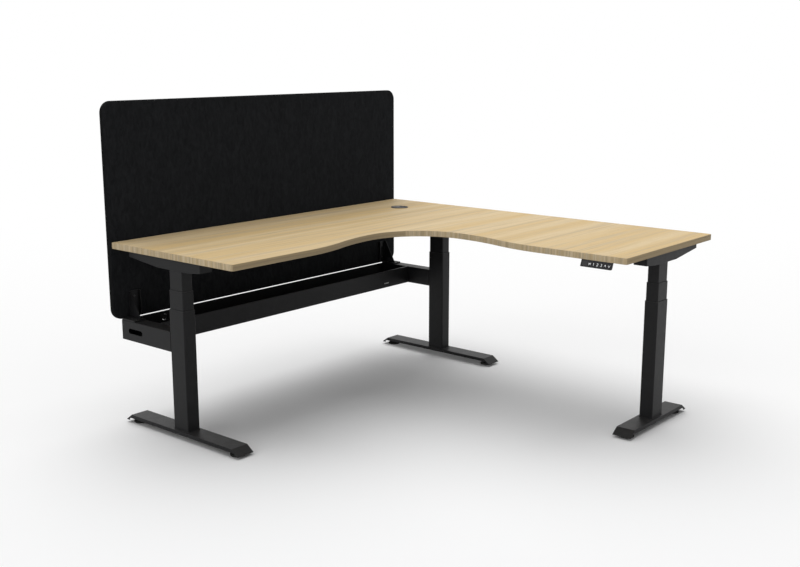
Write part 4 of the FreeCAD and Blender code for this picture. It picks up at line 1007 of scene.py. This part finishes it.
def makeMark(name, number):
    # a flat stroke of even width along the mark's line: at each point the two sides stand off along the mitre,
    # the mean of the neighbouring normals lengthened by the cosine of half the bend; nothing passes the key's
    # shoulder, and the stroke lies on the dished top
    look = handsetLook
    line = np.array(markStrokes[name]) * look["markHeight"]
    along = np.diff(line, axis=0)
    along /= np.linalg.norm(along, axis=1, keepdims=True)
    normal = np.stack([-along[:, 1], along[:, 0]], axis=-1)
    before, after = np.vstack([normal[:1], normal]), np.vstack([normal, normal[-1:]])
    mitre = before + after
    mitre /= np.maximum(np.sum(mitre * after, axis=1, keepdims=True), look["mitreLimit"])
    room = np.array(look["keySize"]) / 2 - look["shoulder"]
    left, right = (np.clip(line + mitre * side * look["markStroke"] / 2, -room, room) for side in (1, -1))
    radius = np.max(np.abs(line) / room, axis=1)
    surface = look["above"] - look["dish"] * (1 - np.clip(radius, 0, 1) ** 2)
    rings = pointed(np.stack([left, right, right, left], axis=1))
    out = surface[:, None] + np.array([1, 1, -1, -1]) * look["markRise"]
    out = np.concatenate([out[:1], out, out[-1:]])
    newPiece(name + "_mark", [onFace(number, rings, out)], name + "_body", sharp=30.0, material=keyPrint)


for number, keyName in enumerate(markStrokes):
    makeKey(keyName, number)
    makeMark(keyName, number)
print("keys made")


# blank label on the tray's front wall

labelLook = {
    "centre": (0.635, 0.3835), "size": (0.034, 0.0060), "corner": 0.0010, "thickness": 0.00015, "gap": 0.00002,
    "curl": 0.0004, "steps": 6,
}


def makeLabel():
    # a thin rounded plate whose right end lifts with the fourth power of the distance along it
    look = labelLook
    outline, normals = roundedRectangle(*look["size"], look["corner"], look["steps"])
    sheet = np.linspace(0, 1, look["steps"])[:, None, None] * outline
    lift = look["curl"] * np.clip(sheet[..., 0] / (look["size"][0] / 2), 0, 1) ** 4
    wall = trayLow[1] - look["gap"]
    x, z = look["centre"][0] + sheet[..., 0], look["centre"][1] + sheet[..., 1]
    front, back = (np.stack([x, wall - thick - lift, z], axis=-1) for thick in (look["thickness"], 0))
    newPiece("trayLabel", [np.concatenate([front, back[::-1]])], "frame", sharp=40.0, material=labelPaper)


makeLabel()
print("label made")


# rubber flap in the tray's cable port

flapLook = {
    "radius": 0.0122, "shift": 0.0018, "thickness": 0.0022, "lip": 0.0018, "hub": 0.0030, "lipSteps": 9,
    "around": 48, "hubShares": (0, 0.5, 1, 1.4), "thickShares": (0.2, 0.25, 0.5, 0.6, 0.6),
}


def makePortFlap():
    # a turned disc: a dimple in the middle, a thin web, and a rounded lip at the rim, the same on both sides
    look = flapLook
    low, high = boxOf("tray_port_bush")
    turn = np.linspace(0, np.pi, look["lipSteps"])
    half, lip = look["thickness"] / 2, look["lip"] / 2
    web = np.append(look["hub"] * np.array(look["hubShares"]), look["radius"] - look["lip"] * 2)
    thin = half * np.array(look["thickShares"])
    radii = np.concatenate([web, look["radius"] - lip + lip * np.sin(turn), web[::-1]])
    depths = np.concatenate([thin, half * np.cos(turn), -thin[::-1]])[:, None]
    place = (low + high) / 2 + axisX * look["shift"]
    flap = turned(place, axisX, axisZ, axisY, np.outer(radii, np.ones(look["around"])), depths)
    newPiece("portFlap", flap, "frame", sharp=40.0, material=rubber)


makePortFlap()
print("port flap made")

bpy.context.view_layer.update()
faceCount = sum(len(thing.data.polygons) for thing in bpy.data.objects if thing.type == "MESH")
print("pieces made:", faceCount, "faces in all")
